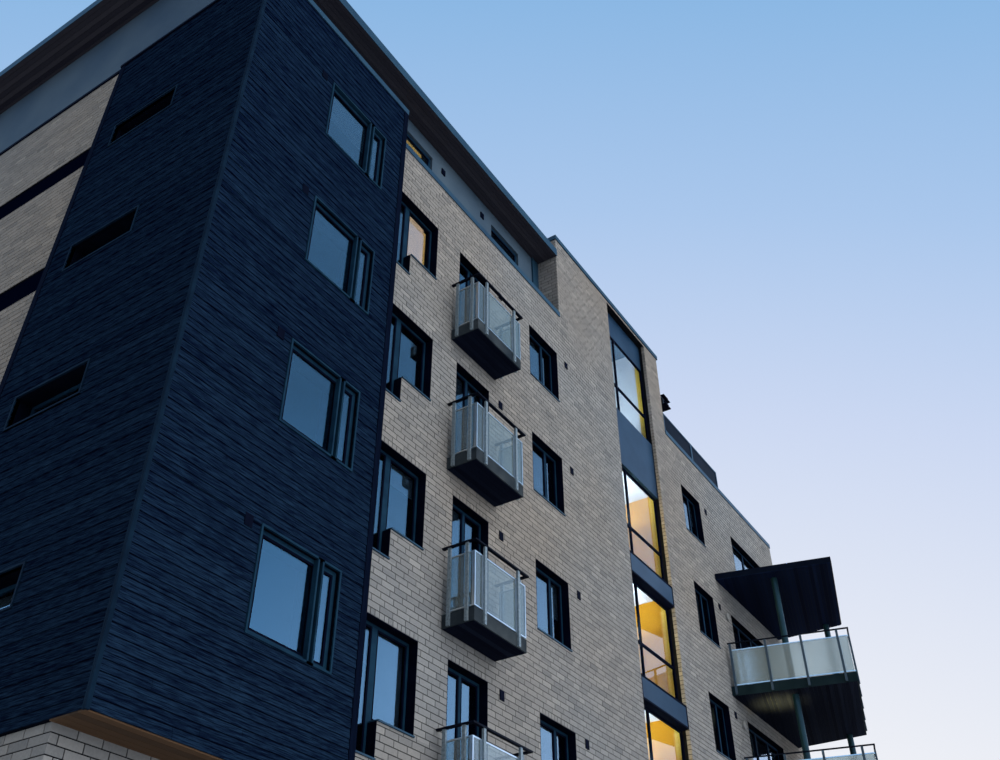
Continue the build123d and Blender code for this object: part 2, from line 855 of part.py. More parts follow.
post_foot = post_foot_rise - balcony_drop - balcony_slab
post_head = rail_top - rail_height

with BuildPart() as balcony_posts:
    for floor in balcony_floors:
        with BuildSketch(Plane.XY.offset(floor + post_foot)):
            for middle in (balcony[0] + post_inset, balcony[1] - post_inset):
                plan_patch((middle - post_width / 2, middle + post_width / 2),
                           (-balcony_depth - post_depth, -balcony_depth))
            for distance in (side_post_wall, side_post_front):
                for start in (balcony[0] - post_depth, balcony[1]):
                    plan_patch((start, start + post_depth),
                               (-distance - post_width / 2, -distance + post_width / 2))
        extrude(amount=post_head - post_foot)
    for floor in corner_levels:
        for start, end, count in corner_sides:
            with BuildSketch(railing_plane(start, end, floor)):
                for middle in post_places(start, end, count):
                    patch(middle - post_width / 2, middle + post_width / 2, post_foot, post_head)
            extrude(amount=post_depth)
save(balcony_posts, "balcony_posts")

rail_out = post_depth + (rail_width - post_depth) / 2
front_rail_rear = rail_width - balcony_depth - rail_out

with BuildPart() as balcony_rails:
    for floor in balcony_floors:
        with BuildSketch(Plane.XY.offset(floor + post_head)):
            plan_patch((balcony[0] - rail_out, balcony[1] + rail_out),
                       (front_rail_rear - rail_width, front_rail_rear))
            for start in (balcony[0] - rail_out, balcony[1] + rail_out - rail_width):
                plan_patch((start, start + rail_width), (front_rail_rear + rail_joint, 0))
        extrude(amount=rail_height)
    for floor in corner_levels:
        for start, end, count in corner_sides:
            length = (end - start).length
            low = corner_rail_gap if start in wall_ends else corner_rail_joint
            high = length - corner_rail_gap if end in wall_ends else length + post_depth
            with BuildSketch(railing_plane(start, end, floor)):
                patch(low, high, post_head, rail_top)
            extrude(amount=post_depth)
save(balcony_rails, "balcony_rails")

# Glass panels inside the posts, in metal edges: small balconies have three in front, one at each side
panel_low = panel_lift - balcony_drop
front_edges = (balcony[0], balcony[0] + post_inset, balcony[1] - post_inset, balcony[1])
front_panels = [shifted((low + (panel_gap / 2 if low > balcony[0] else 0),
                         high - (panel_gap / 2 if high < balcony[1] else 0)))
                for low, high in zip(front_edges, front_edges[1:])]
side_panel = (front_face - balcony_depth + panel_frame + panel_joint, front_face - side_panel_wall)


def corner_panels(start, end, count):
    """Spans of a side's glass panels, from post to post and on to the balcony's free corners."""
    half_gap = corner_panel_gap / 2
    free_end = panel_frame + panel_joint - half_gap
    places = post_places(start, end, count)
    if start not in wall_ends:
        places.insert(0, free_end)
    if end not in wall_ends:
        places.append((end - start).length - free_end)
    return [(low + half_gap, high - half_gap) for low, high in zip(places, places[1:])]


with BuildPart() as balcony_panel_frames:
    with BuildSketch(front_plane(-balcony_depth)):
        for floor in balcony_floors:
            for low, high in front_panels:
                ring(low, high, floor + panel_low, floor + panel_top, panel_frame)
    extrude(amount=-panel_frame)
    for start in (balcony[0], balcony[1] - panel_frame):
        with BuildSketch(side_plane(start)):
            for floor in balcony_floors:
                ring(*side_panel, floor + panel_low, floor + panel_top, panel_frame)
        extrude(amount=panel_frame)
    for floor in corner_levels:
        for start, end, count in corner_sides:
            with BuildSketch(railing_plane(start, end, floor)):
                panels = corner_panels(start, end, count)
                for edge in (panel_low, panel_top - panel_frame):
                    patch(panels[0][0], panels[-1][1], edge, edge + panel_frame)
            extrude(amount=-panel_frame)
save(balcony_panel_frames, "balcony_panel_frames")

panel_set = (panel_frame - panel_glass) / 2

with BuildPart() as balcony_glass:
    with BuildSketch(front_plane(panel_set - balcony_depth)):
        for floor in balcony_floors:
            for low, high in front_panels:
                patch(low + panel_frame, high - panel_frame,
                      floor + panel_low + panel_frame, floor + panel_top - panel_frame)
    extrude(amount=-panel_glass)
    for start in (balcony[0] + panel_set, balcony[1] - panel_set - panel_glass):
        with BuildSketch(side_plane(start)):
            for floor in balcony_floors:
                patch(side_panel[0] + panel_frame, side_panel[1] - panel_frame,
                      floor + panel_low + panel_frame, floor + panel_top - panel_frame)
        extrude(amount=panel_glass)
save(balcony_glass, "balcony_glass")

with BuildPart() as corner_glass:
    for floor in corner_levels:
        for start, end, count in corner_sides:
            with BuildSketch(railing_plane(start, end, floor).offset(-panel_set)):
                for low, high in corner_panels(start, end, count):
                    patch(low, high, panel_low + panel_frame, panel_top - panel_frame)
            extrude(amount=-panel_glass)
save(corner_glass, "corner_balcony_glass")

# Railing on the wing's parapet, beside the tower
terrace_rail = (tower[1] + tower_cap_proud, tower[1] + terrace_rail_length)
rail_foot = brick_top + coping_height
rail_middle = (terrace_rail[0] + terrace_rail[1]) / 2
terrace_bays = [(left + terrace_rail_bar, right - terrace_rail_bar)
                for left, right in ((terrace_rail[0], rail_middle), (rail_middle, terrace_rail[1]))]
terrace_panel_heights = (rail_foot + terrace_rail_bar, rail_foot + terrace_rail_height - terrace_rail_bar)

with BuildPart() as terrace_rail_frame:
    with BuildSketch(front_plane(0)):
        front_patch(terrace_rail, rail_foot, rail_foot + terrace_rail_height)
        for bay in terrace_bays:
            front_patch(bay, *terrace_panel_heights, Mode.SUBTRACT)
    extrude(amount=-terrace_rail_depth)
save(terrace_rail_frame, "terrace_rail_frame")

with BuildPart() as terrace_rail_panels:
    with BuildSketch(front_plane((terrace_rail_depth - terrace_panel) / 2)):
        for bay in terrace_bays:
            front_patch(bay, *terrace_panel_heights)
    extrude(amount=-terrace_panel)
save(terrace_rail_panels, "terrace_rail_panels")

# Vent covers beside the windows, and two at the head of the set-back storey
front_vents = [(left, floor + vent_level) for floor in balcony_floors
               for left in (door_column[1] + vent_gap, column_w[1] + vent_gap)]
front_vents += [(wing_column[1] + vent_gap, floor + vent_level) for floor in floors]
bay_vents = [(bay_window[0] - bay_vent_gap - vent_width, floor + vent_level) for floor in balcony_floors]
penthouse_vents = [(penthouse_window_a[1] + vent_gap, penthouse_head - vent_height),
                   (penthouse_window_b[0] - vent_gap - vent_width, penthouse_head - vent_height)]

with BuildPart() as wall_vents:
    for start, vents in ((0, front_vents), (-bay_front_proud, bay_vents),
                         (penthouse_setback, penthouse_vents)):
        with BuildSketch(front_plane(start)):
            for left, bottom in vents:
                front_patch((left, left + vent_width), bottom, bottom + vent_height)
        extrude(amount=vent_depth)
save(wall_vents, "wall_vents")

# Lamps: a round one beside each pair of terrace doors, and one on an arm at the tower's corner
lamp_x = along(terrace_doors[0] - lamp_gap)
lamp_hang = tower_lamp_level - tower_lamp_height

with BuildPart() as wall_lamps:
    with BuildSketch(front_plane(0)):
        with Locations(*[(lamp_x, floor + lamp_level) for floor in corner_levels]):
            Circle(lamp_radius)
    extrude(amount=lamp_depth)
    with BuildSketch(front_plane(tower_lamp_arm[0])):
        front_patch((tower[1], tower[1] + tower_lamp_reach), tower_lamp_level,
                    tower_lamp_level + tower_lamp_arm[1] - tower_lamp_arm[0])
    extrude(amount=tower_lamp_arm[0] - tower_lamp_arm[1])
    with BuildSketch(side_plane(tower[1] + tower_lamp_reach - tower_lamp_length)):
        side_patch((tower_lamp_arm[0], tower_lamp_arm[1] + tower_lamp_height), lamp_hang, tower_lamp_level)
    extrude(amount=tower_lamp_length)
save(wall_lamps, "wall_lamps")
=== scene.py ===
import math
import random

import bpy
from mathutils import Matrix, Vector


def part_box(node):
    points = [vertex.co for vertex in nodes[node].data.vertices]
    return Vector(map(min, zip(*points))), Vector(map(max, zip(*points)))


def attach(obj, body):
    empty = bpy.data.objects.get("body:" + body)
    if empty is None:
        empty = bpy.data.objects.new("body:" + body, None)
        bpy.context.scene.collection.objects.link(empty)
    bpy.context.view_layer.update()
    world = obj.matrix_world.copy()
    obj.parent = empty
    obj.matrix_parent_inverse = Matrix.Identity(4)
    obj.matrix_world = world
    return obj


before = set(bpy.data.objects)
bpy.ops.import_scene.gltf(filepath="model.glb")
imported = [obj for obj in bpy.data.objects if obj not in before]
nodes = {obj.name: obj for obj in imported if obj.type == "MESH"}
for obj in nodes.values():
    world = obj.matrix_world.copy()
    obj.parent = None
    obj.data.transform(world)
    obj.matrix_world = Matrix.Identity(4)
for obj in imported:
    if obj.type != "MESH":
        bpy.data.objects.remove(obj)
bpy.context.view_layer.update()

# Driving sizes in metres, as in the block itself
storey = 3.0
frame_face = 0.06
course = storey / 28
course_phase = 2.2 - 20 * course
brick_length = 0.308
brick_joint = 0.014
brick_proud = 0.01
end_margin = 0.03
shortest_brick = 0.012
thinnest_brick = 0.004
strip_brick = 0.08
board_proud = 0.018
board_pitch = 0.128
board_step = 0.006
board_edge = 0.004
board_seam = 0.006
profile_thickness = 0.01
corner_profile = 0.028
edge_board = 0.09
lining = 0.012
sash_width = 0.032
sash_depth = 0.016
surround_face = 0.03
surround_back = 0.045
spandrel_edge = 0.035
spandrel_edge_depth = 0.008
edge_lap = 0.01
soffit_board = 0.095
soffit_thickness = 0.014
slab_board = 0.1
slab_depth = 0.016
under_depth = 0.012
soffit_inset = 0.02
bay_soffit_board = 0.12
deck_board = 0.12
deck_rise = 0.02
deck_inset = 0.09
felt_width = 1.0
felt_lap = 0.08
felt_rise = 0.006
slab_cover = 0.004
roof_sheet = 0.006
slat_pitch = 0.022
slat_lean = 0.006
slat_thickness = 0.001
blind_gap = 0.05
fin_gap = 0.12
end_panel_width = 0.27
end_panel_post = 0.03
bolt_radius = 0.013
bolt_length = 0.01
bolt_heights = (0.06, 0.16)
random_seed = 7
sky_axis = (0.63, 0.43, -0.65)
sky_stops = ((0.0, (132, 180, 226)), (0.33, (170, 199, 236)), (0.6, (203, 216, 242)), (1.0, (238, 240, 246)))
sky_light = 0.42


# Places read from the frame

def low(node):
    """Lowest corner of a node."""
    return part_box(node)[0]


def high(node):
    """Highest corner of a node."""
    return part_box(node)[1]


front_y = low("front_wall_lower").y
left_x = low("left_wall").x
right_x = high("wing_end_wall").x
rear_y = high("rear_wall").y
brick_top = high("rear_wall").z
top_floor = high("front_wall_upper").z - storey
bay_bottom = low("bay_side_walls").z
bay_front_y = low("bay_front_wall").y
bay_left_x = low("bay_side_walls").x
bay_right_x = high("bay_front_wall").x
bay_rear_y = high("bay_side_walls").y
tower_left = low("tower_front_wall").x
tower_right = high("tower_front_wall").x
tower_top = high("tower_front_wall").z
tower_rear = high("tower_rear_wall").y
coping_top = high("parapet_copings").z
deck = high("wing_floors").z
top_front_y = low("penthouse_front_wall").y
top_rear_y = high("penthouse_rear_wall").y
roof_low = low("penthouse_roof")
roof_high = high("penthouse_roof")


def island_boxes(node):
    """Boxes of a node's separate solids, found by the corners that its faces share."""
    mesh = nodes[node].data
    keys = [tuple(round(value, 4) for value in vertex.co) for vertex in mesh.vertices]
    parent = {key: key for key in keys}

    def find(key):
        while parent[key] != key:
            parent[key] = parent[parent[key]]
            key = parent[key]
        return key

    for polygon in mesh.polygons:
        first = find(keys[polygon.vertices[0]])
        for vertex in polygon.vertices[1:]:
            parent[find(keys[vertex])] = first
    groups = {}
    for key in parent:
        groups.setdefault(find(key), []).append(Vector(key))
    boxes = []
    for points in groups.values():
        corners = list(zip(*points))
        boxes.append(tuple(Vector([pick(values) for values in corners]) for pick in (min, max)))
    return sorted(boxes, key=lambda pair: tuple(round(value, 3) for value in (*pair[0], *pair[1])))


# Openings: a pane and the frame round it, as (start, end, bottom, top) along its wall

def grown(hole, extra):
    """An opening made larger on all sides."""
    return (hole[0] - extra, hole[1] + extra, hole[2] - extra, hole[3] + extra)


def opening(box, across="x"):
    """The hole in the wall round one pane."""
    return grown((getattr(box[0], across), getattr(box[1], across), box[0].z, box[1].z), frame_face)


def turned(hole):
    """An opening on a face where distances run the other way."""
    return (-hole[1], -hole[0], hole[2], hole[3])


window_depth = 0.36
thinnest_pane = 0.1
pane_boxes = island_boxes("window_glass")
flat_panes = [box for box in pane_boxes if box[1].x - box[0].x > thinnest_pane]
front_panes = [box for box in flat_panes if front_y < box[0].y < front_y + window_depth]
bay_panes = [box for box in flat_panes if box[0].y < front_y]
strip_panes = [box for box in pane_boxes if box[1].x - box[0].x < thinnest_pane]
top_panes = [box for box in pane_boxes if box[0].z > coping_top and box[1].y < tower_rear]
rear_panes = [box for box in pane_boxes if box[1].y > rear_y - window_depth]
front_openings = [opening(box) for box in front_panes]
rear_openings = [opening(box) for box in rear_panes]
bay_openings = [opening(box) for box in bay_panes]
strip_openings = [opening(box, "y") for box in strip_panes]
strip = (low("stair_window_frames").x, high("stair_window_frames").x,
         low("stair_window_frames").z, high("stair_spandrels").z)


# Meshes

def new_object(name, data):
    """An object with some data, linked to the scene."""
    thing = bpy.data.objects.new(name, data)
    bpy.context.scene.collection.objects.link(thing)
    return thing


class Shape:
    """Corners, faces and a tone for each face, collected for one joined mesh."""

    def __init__(self, name):
        self.name = name
        self.corners = []
        self.faces = []
        self.tones = []

    def prism(self, corners, tone=0.5, skip=()):
        """A solid with four corners below and four above, in that order; skip names faces to leave out."""
        base = len(self.corners)
        self.corners += [tuple(corner) for corner in corners]
        sides = {"bottom": (3, 2, 1, 0), "top": (4, 5, 6, 7), "front": (0, 1, 5, 4), "right": (1, 2, 6, 5),
                 "back": (2, 3, 7, 6), "left": (3, 0, 4, 7)}
        for side, loop in sides.items():
            if side not in skip:
                self.faces.append([base + number for number in loop])
                self.tones.append(tone)

    def block(self, low_corner, high_corner, tone=0.5, skip=()):
        """An upright box between two corners."""
        (x0, y0, z0), (x1, y1, z1) = low_corner, high_corner
        self.prism([(x0, y0, z0), (x1, y0, z0), (x1, y1, z0), (x0, y1, z0),
                    (x0, y0, z1), (x1, y0, z1), (x1, y1, z1), (x0, y1, z1)], tone, skip)

    def ring(self, outer, inner, depths, across="y", skip=()):
        """Four bars between two upright rectangles, between two depths along an axis."""
        bars = {"bottom": (outer[0], outer[1], outer[2], inner[2]),
                "top": (outer[0], outer[1], inner[3], outer[3]),
                "left": (outer[0], inner[0], inner[2], inner[3]),
                "right": (inner[1], outer[1], inner[2], inner[3])}
        for side, (start, end, bottom, top) in bars.items():
            if side in skip:
                continue
            if across == "y":
                self.block((start, depths[0], bottom), (end, depths[1], top))
            else:
                self.block((depths[0], start, bottom), (depths[1], end, top))

    def plate(self, points, bottom, top, tone, shown):
        """A flat board over some corners: its sides and the face that shows, the top or the bottom one."""
        base, count = len(self.corners), len(points)
        self.corners += [(point.x, point.y, height) for height in (bottom, top) for point in points]
        if shown == "top":
            self.faces.append([base + count + number for number in range(count)])
        else:
            self.faces.append([base + number for number in reversed(range(count))])
        for number in range(count):
            after = (number + 1) % count
            self.faces.append([base + number, base + after, base + count + after, base + count + number])
        self.tones += [tone] * (count + 1)

    def finish(self, surface, bevel=0):
        """The mesh as a piece of the block with its material."""
        mesh = bpy.data.meshes.new(self.name)
        mesh.from_pydata(self.corners, [], self.faces)
        attribute = mesh.attributes.new("tone", "FLOAT", "FACE")
        attribute.data.foreach_set("value", self.tones)
        mesh.materials.append(surface)
        piece = new_object(self.name, mesh)
        if bevel:
            modifier = piece.modifiers.new("edges", "BEVEL")
            modifier.width = bevel
            modifier.segments = 1
            modifier.limit_method = "ANGLE"
        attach(piece, "root")


def gaps(start, end, holes):
    """What is left of a stretch outside some holes."""
    left = [(start, end)]
    for hole_start, hole_end in sorted(holes):
        kept = []
        for a, b in left:
            if hole_end <= a or hole_start >= b:
                kept.append((a, b))
                continue
            if hole_start > a:
                kept.append((a, hole_start))
            if hole_end < b:
                kept.append((hole_end, b))
        left = kept
    return left


def blocks(name, surface, slot, *pairs, bevel=0.0):
    """A piece made of upright boxes, each given by two corners."""
    shape = Shape(name)
    for pair in pairs:
        shape.block(*pair)
    shape.finish(surface, bevel)


def runs(start, stop, width, seam, limit=math.inf):
    """Where boards that lie side by side start and end, none of them beyond a limit."""
    while start < stop:
        yield start, min(start + width, limit) - seam
        start += width


def face(axis, place, out, run=1):
    """A function for one upright face, which turns a distance along it, a height and a depth into a point."""
    def point(distance, height, depth):
        if axis == "y":
            return (run * distance, place + out * depth, height)
        return (place + out * depth, run * distance, height)
    return point


# Shader nodes of a material or the world, called the owner

def linear(colour):
    """An sRGB colour of 0 to 255 as the linear values that shaders take."""
    return tuple((value / 255 / 12.92 if value <= 10 else ((value / 255 + 0.055) / 1.055) ** 2.4)
                 for value in colour) + (1.0,)


def set_inputs(node, values):
    """Set some inputs of a node."""
    for key, value in values.items():
        node.inputs[key.replace("_", " ")].default_value = value


def add_node(owner, kind, **values):
    """A node with some of its inputs set."""
    node = owner.node_tree.nodes.new(kind)
    set_inputs(node, values)
    return node


def feed(owner, target, value):
    """Set an input to a value, or link it to another node's output."""
    if isinstance(value, bpy.types.NodeSocket):
        owner.node_tree.links.new(value, target)
    else:
        target.default_value = value


def maths(owner, operation, *values):
    """The result of an operation on numbers or outputs."""
    node = add_node(owner, "ShaderNodeMath")
    node.operation = operation
    node.use_clamp = operation == "SUBTRACT"
    for number, value in enumerate(values):
        feed(owner, node.inputs[number], value)
    return node.outputs[0]


def ranged(owner, value, start, end, first=0.0, last=1.0):
    """A value brought from one range to another."""
    node = add_node(owner, "ShaderNodeMapRange", From_Min=start, From_Max=end, To_Min=first, To_Max=last)
    feed(owner, node.inputs["Value"], value)
    return node.outputs["Result"]


def mixed(owner, factor, one, two, blend="MIX"):
    """A colour mixed from two colours or outputs."""
    mix = add_node(owner, "ShaderNodeMix")
    mix.data_type = "RGBA"
    mix.blend_type = blend
    feed(owner, mix.inputs["Factor"], factor)
    feed(owner, mix.inputs[6], one)
    feed(owner, mix.inputs[7], two)
    return mix.outputs[2]


def along_axis(owner, output, axis):
    """The place along one axis, in the block's metres or as a direction."""
    place = add_node(owner, "ShaderNodeTexCoord")
    split = add_node(owner, "ShaderNodeSeparateXYZ")
    feed(owner, split.inputs["Vector"], place.outputs[output])
    return split.outputs[axis]


def stretched_noise(paint, stretch, scale, detail):
    """Noise in the block's own metres, drawn out along an axis."""
    place = add_node(paint, "ShaderNodeTexCoord")
    mapping = add_node(paint, "ShaderNodeMapping", Scale=stretch)
    feed(paint, mapping.inputs["Vector"], place.outputs["Object"])
    noise = add_node(paint, "ShaderNodeTexNoise", Scale=scale, Detail=detail)
    feed(paint, noise.inputs["Vector"], mapping.outputs["Vector"])
    return noise.outputs["Fac"]


def ramp_between(paint, factor, dark, pale, start=0.3, end=0.7):
    """A colour between two, by a factor; a colour is sRGB, or linear if it has four values."""
    ramp = add_node(paint, "ShaderNodeValToRGB")
    for stop, position, colour in zip(ramp.color_ramp.elements, (start, end), (dark, pale)):
        stop.position = position
        stop.color = linear(colour) if len(colour) == 3 else colour
    feed(paint, ramp.inputs["Fac"], factor)
    return ramp.outputs["Color"]


# Materials

def new_material(name, **values):
    """A node material and its main shader, with some of its inputs set."""
    paint = bpy.data.materials.new(name)
    paint.use_nodes = True
    shader = paint.node_tree.nodes["Principled BSDF"]
    set_inputs(shader, values)
    return paint, shader


def bump_from(paint, shader, height, strength, distance):
    """Relief on the main shader from a height."""
    bump = add_node(paint, "ShaderNodeBump", Strength=strength, Distance=distance)
    feed(paint, bump.inputs["Height"], height)
    feed(paint, shader.inputs["Normal"], bump.outputs["Normal"])


def coated(name, dark, pale, roughness, metallic=0.0, stretch=(1, 1, 1), scale=3.0, relief=0.05,
           relief_depth=0.002, grain=60.0, gloss=0.5):
    """A surface whose colour drifts between two shades, with fine relief."""
    paint, shader = new_material(name, Roughness=roughness, Metallic=metallic, Specular_IOR_Level=gloss)
    drift = stretched_noise(paint, stretch, scale, 6.0)
    feed(paint, shader.inputs["Base Color"], ramp_between(paint, drift, dark, pale))
    bump_from(paint, shader, stretched_noise(paint, stretch, grain, 3.0), relief, relief_depth)
    return paint


def toned(name, dark, pale, roughness, stretch=(2, 2, 2), grain=12.0, relief=0.3, relief_depth=0.003,
          blotch=0.35, gloss=0.5):
    """A surface with a tone of its own for each brick or board, and grain over it."""
    paint, shader = new_material(name, Roughness=roughness, Specular_IOR_Level=gloss)
    tone = add_node(paint, "ShaderNodeAttribute")
    tone.attribute_name = "tone"
    drift = stretched_noise(paint, stretch, grain, 5.0)
    share = 1 / (1 + blotch)
    own = maths(paint, "MULTIPLY", tone.outputs["Fac"], share)
    both = maths(paint, "MULTIPLY_ADD", drift, blotch * share, own)
    edge = blotch * share / 2
    feed(paint, shader.inputs["Base Color"], ramp_between(paint, both, dark, pale, edge, 1 - edge))
    bump_from(paint, shader, drift, relief, relief_depth)
    return paint


def glassy(name, colour, roughness, ior, tint, transmission=1.0):
    """Clear or frosted glass, whose reflections take a tint."""
    paint, shader = new_material(name, Roughness=roughness, IOR=ior, Specular_Tint=tint,
                                 Transmission_Weight=transmission)
    clear = linear(colour)
    cloudy = tuple(value * 0.9 for value in clear[:3]) + (1.0,)
    drift = stretched_noise(paint, (1, 1, 1), 0.7, 2.0)
    feed(paint, shader.inputs["Base Color"], ramp_between(paint, drift, cloudy, clear))
    return paint


def glowing(name, dark, pale, strength):
    """A thin blind that glows in its own colour: painted light standing in for a lamp behind it."""
    paint = coated(name, dark, pale, 0.8, scale=1.5)
    shader = paint.node_tree.nodes["Principled BSDF"]
    drift = stretched_noise(paint, (1, 1, 1), 1.5, 2.0)
    feed(paint, shader.inputs["Emission Color"], ramp_between(paint, drift, dark, pale))
    shader.inputs["Emission Strength"].default_value = strength
    return paint


def base_colour(paint):
    """The main shader's colour input and what feeds it."""
    target = paint.node_tree.nodes["Principled BSDF"].inputs["Base Color"]
    return target, target.links[0].from_socket


def painted_light_low(paint, top, extra):
    """Painted light: a little more colour on a surface the lower it is, so it is lighter towards the bottom.
    """
    target, base = base_colour(paint)
    depth = ranged(paint, along_axis(paint, "Object", "Z"), top, 0.0)
    feed(paint, target, mixed(paint, depth, base, linear(extra), "ADD"))


def broad_cast(paint, cool, warm, scale):
    """A broad drift between a cooler and a warmer cast over a surface."""
    target, base = base_colour(paint)
    cast = ramp_between(paint, stretched_noise(paint, (1, 1, 1), scale, 2.0), cool, warm, 0.35, 0.65)
    feed(paint, target, mixed(paint, 1.0, base, cast, "MULTIPLY"))


def change_beyond(paint, axis, limit, dark, pale):
    """Another pair of shades beyond a place along an axis, with the same drift between them."""
    target, near = base_colour(paint)
    drift = near.node.inputs["Fac"].links[0].from_socket
    past = maths(paint, "GREATER_THAN", along_axis(paint, "Object", axis), limit)
    feed(paint, target, mixed(paint, past, near, ramp_between(paint, drift, dark, pale)))


brick = toned("brick_face", (94, 98, 105), (176, 174, 174), 0.9, (1, 1, 1), 30.0, 0.5, 0.004, gloss=0.15)
broad_cast(brick, (0.92, 0.97, 1.0, 1), (1.0, 0.94, 0.86, 1), 0.16)
mortar = coated("mortar", (12, 14, 20), (24, 26, 32), 0.95, scale=8.0, relief=0.4, gloss=0.1)
timber = toned("timber_boards", (3, 11, 38), (34, 59, 88), 0.95, (1.1, 1.1, 18), 5.0, 1.0, 0.016, 2.2, 0.0)
# Painted light: the boards lighter and greener towards the bottom
painted_light_low(timber, brick_top, (8, 15, 15))
band_boards = toned("band_boards", (2, 6, 26), (12, 20, 46), 0.95, (1.1, 1.1, 20), 6.0, 0.6, 0.008, 0.8, 0.0)
timber_back = coated("timber_back", (3, 7, 20), (6, 12, 28), 0.9, scale=4.0, relief=0.2, gloss=0.03)
timber_trim = coated("timber_trim", (3, 9, 26), (8, 18, 38), 0.8, 0.0, (8, 8, 0.6), 5.0, 0.2, gloss=0.02)
corner_metal = coated("corner_profile", (8, 24, 42), (16, 38, 58), 0.6, gloss=0.03)
soffit_boards = toned("soffit_boards", (4, 12, 34), (20, 34, 66), 0.85, gloss=0.03)
deck_timber = toned("deck_timber", (92, 88, 84), (142, 132, 120), 0.85, (2, 14, 14), 5.0, gloss=0.2)
slab_soffit = toned("slab_soffit_boards", (8, 14, 32), (32, 40, 60), 0.85, gloss=0.03)
roof_boards = toned("roof_soffit_boards", (34, 34, 46), (72, 70, 78), 0.85, gloss=0.05)
# Bay soffit boards: their own brown, raised lighter and warmer as painted light from a warm lamp below the
# bay
brown_boards = toned("brown_boards", (50, 38, 30), (104, 78, 56), 0.7, (1.2, 14, 14), 6.0, gloss=0.2)
panel = coated("grey_panel", (64, 84, 104), (84, 102, 118), 0.65, scale=0.6, gloss=0.15)
teal_metal = coated("teal_sheet_metal", (28, 58, 80), (40, 74, 96), 0.5, 0.1, scale=2.0, relief=0.06,
                    gloss=0.3)
frame_paint = coated("frame_paint", (16, 42, 64), (26, 58, 80), 0.6, scale=4.0, gloss=0.04)
black_lining = coated("black_lining", (1, 4, 20), (5, 10, 30), 0.7, scale=4.0, gloss=0.04)
spandrel_paint = coated("spandrel_paint", (26, 50, 74), (40, 66, 92), 0.45, scale=1.2, relief=0.04, gloss=0.2)
dark_panel = coated("dark_panel", (4, 8, 22), (10, 18, 34), 0.5, scale=2.0, gloss=0.04)
slab_concrete = coated("slab_concrete", (32, 42, 52), (68, 76, 82), 0.85, scale=2.4, relief=0.3,
                       relief_depth=0.004, grain=30.0, gloss=0.1)
floor_concrete = coated("floor_concrete", (70, 76, 84), (86, 92, 98), 0.85, scale=1.5, relief=0.3)
white_plaster = coated("white_plaster", (224, 232, 244), (234, 240, 250), 0.8, scale=2.0, relief=0.2)
yellow_paint = coated("yellow_paint", (232, 192, 66), (240, 204, 84), 0.7, scale=1.0, relief=0.1)
orange_wall = coated("orange_wall_paint", (228, 160, 0), (234, 168, 4), 0.7, scale=1.0, relief=0.1)
orange_rail = coated("orange_rail_paint", (196, 104, 24), (214, 120, 34), 0.45, scale=6.0)
galvanised = coated("galvanised_steel", (104, 120, 130), (148, 162, 172), 0.5, 0.25, scale=28.0,
                    relief=0.08, gloss=0.3)
aluminium = coated("aluminium_edge", (176, 186, 194), (206, 214, 220), 0.32, 0.8, (1, 1, 0.1), 30.0)
rail_paint = coated("rail_paint", (5, 9, 22), (14, 20, 34), 0.6, scale=5.0, gloss=0.05)
cover_paint = coated("cover_paint", (14, 28, 36), (26, 42, 50), 0.6, relief=0.1, gloss=0.05)
column_paint = coated("column_paint", (16, 42, 54), (26, 58, 68), 0.45, gloss=0.3)
roof_felt = coated("roof_felt", (60, 62, 64), (84, 86, 88), 0.95, scale=1.2, relief=0.5, grain=200.0)
lamp_cover = coated("lamp_cover", (142, 143, 144), (158, 158, 157), 0.5, scale=6.0)
window_glass = glassy("window_glass", (196, 214, 226), 0.02, 2.3, (0.5, 0.8, 1.0, 1))
stair_glass = glassy("stair_glass", (246, 246, 244), 0.01, 1.42, (0.85, 0.92, 1.0, 1))
clear_glass = glassy("balcony_glass", (206, 224, 226), 0.03, 1.6, (0.94, 1.0, 1.0, 1), 0.88)
frosted_glass = glassy("frosted_glass", (190, 208, 214), 0.2, 1.45, (0.6, 0.6, 0.6, 1), 0.72)
blind_paint = coated("blind_paint", (176, 190, 198), (190, 202, 208), 0.7)
# Blinds that glow: painted light standing in for room lamps behind them
cream_blind = glowing("glowing_blind_cream", (232, 198, 162), (242, 208, 174), 1.1)
yellow_blind = glowing("glowing_blind_yellow", (236, 190, 104), (246, 206, 128), 1.0)
change_beyond(lamp_cover, "Z", coping_top, (6, 10, 20), (10, 15, 26))
change_beyond(galvanised, "X", tower_right, (50, 64, 76), (66, 80, 92))
change_beyond(orange_wall, "Z", high("stair_landings").z + 0.1, (230, 236, 244), (240, 244, 250))

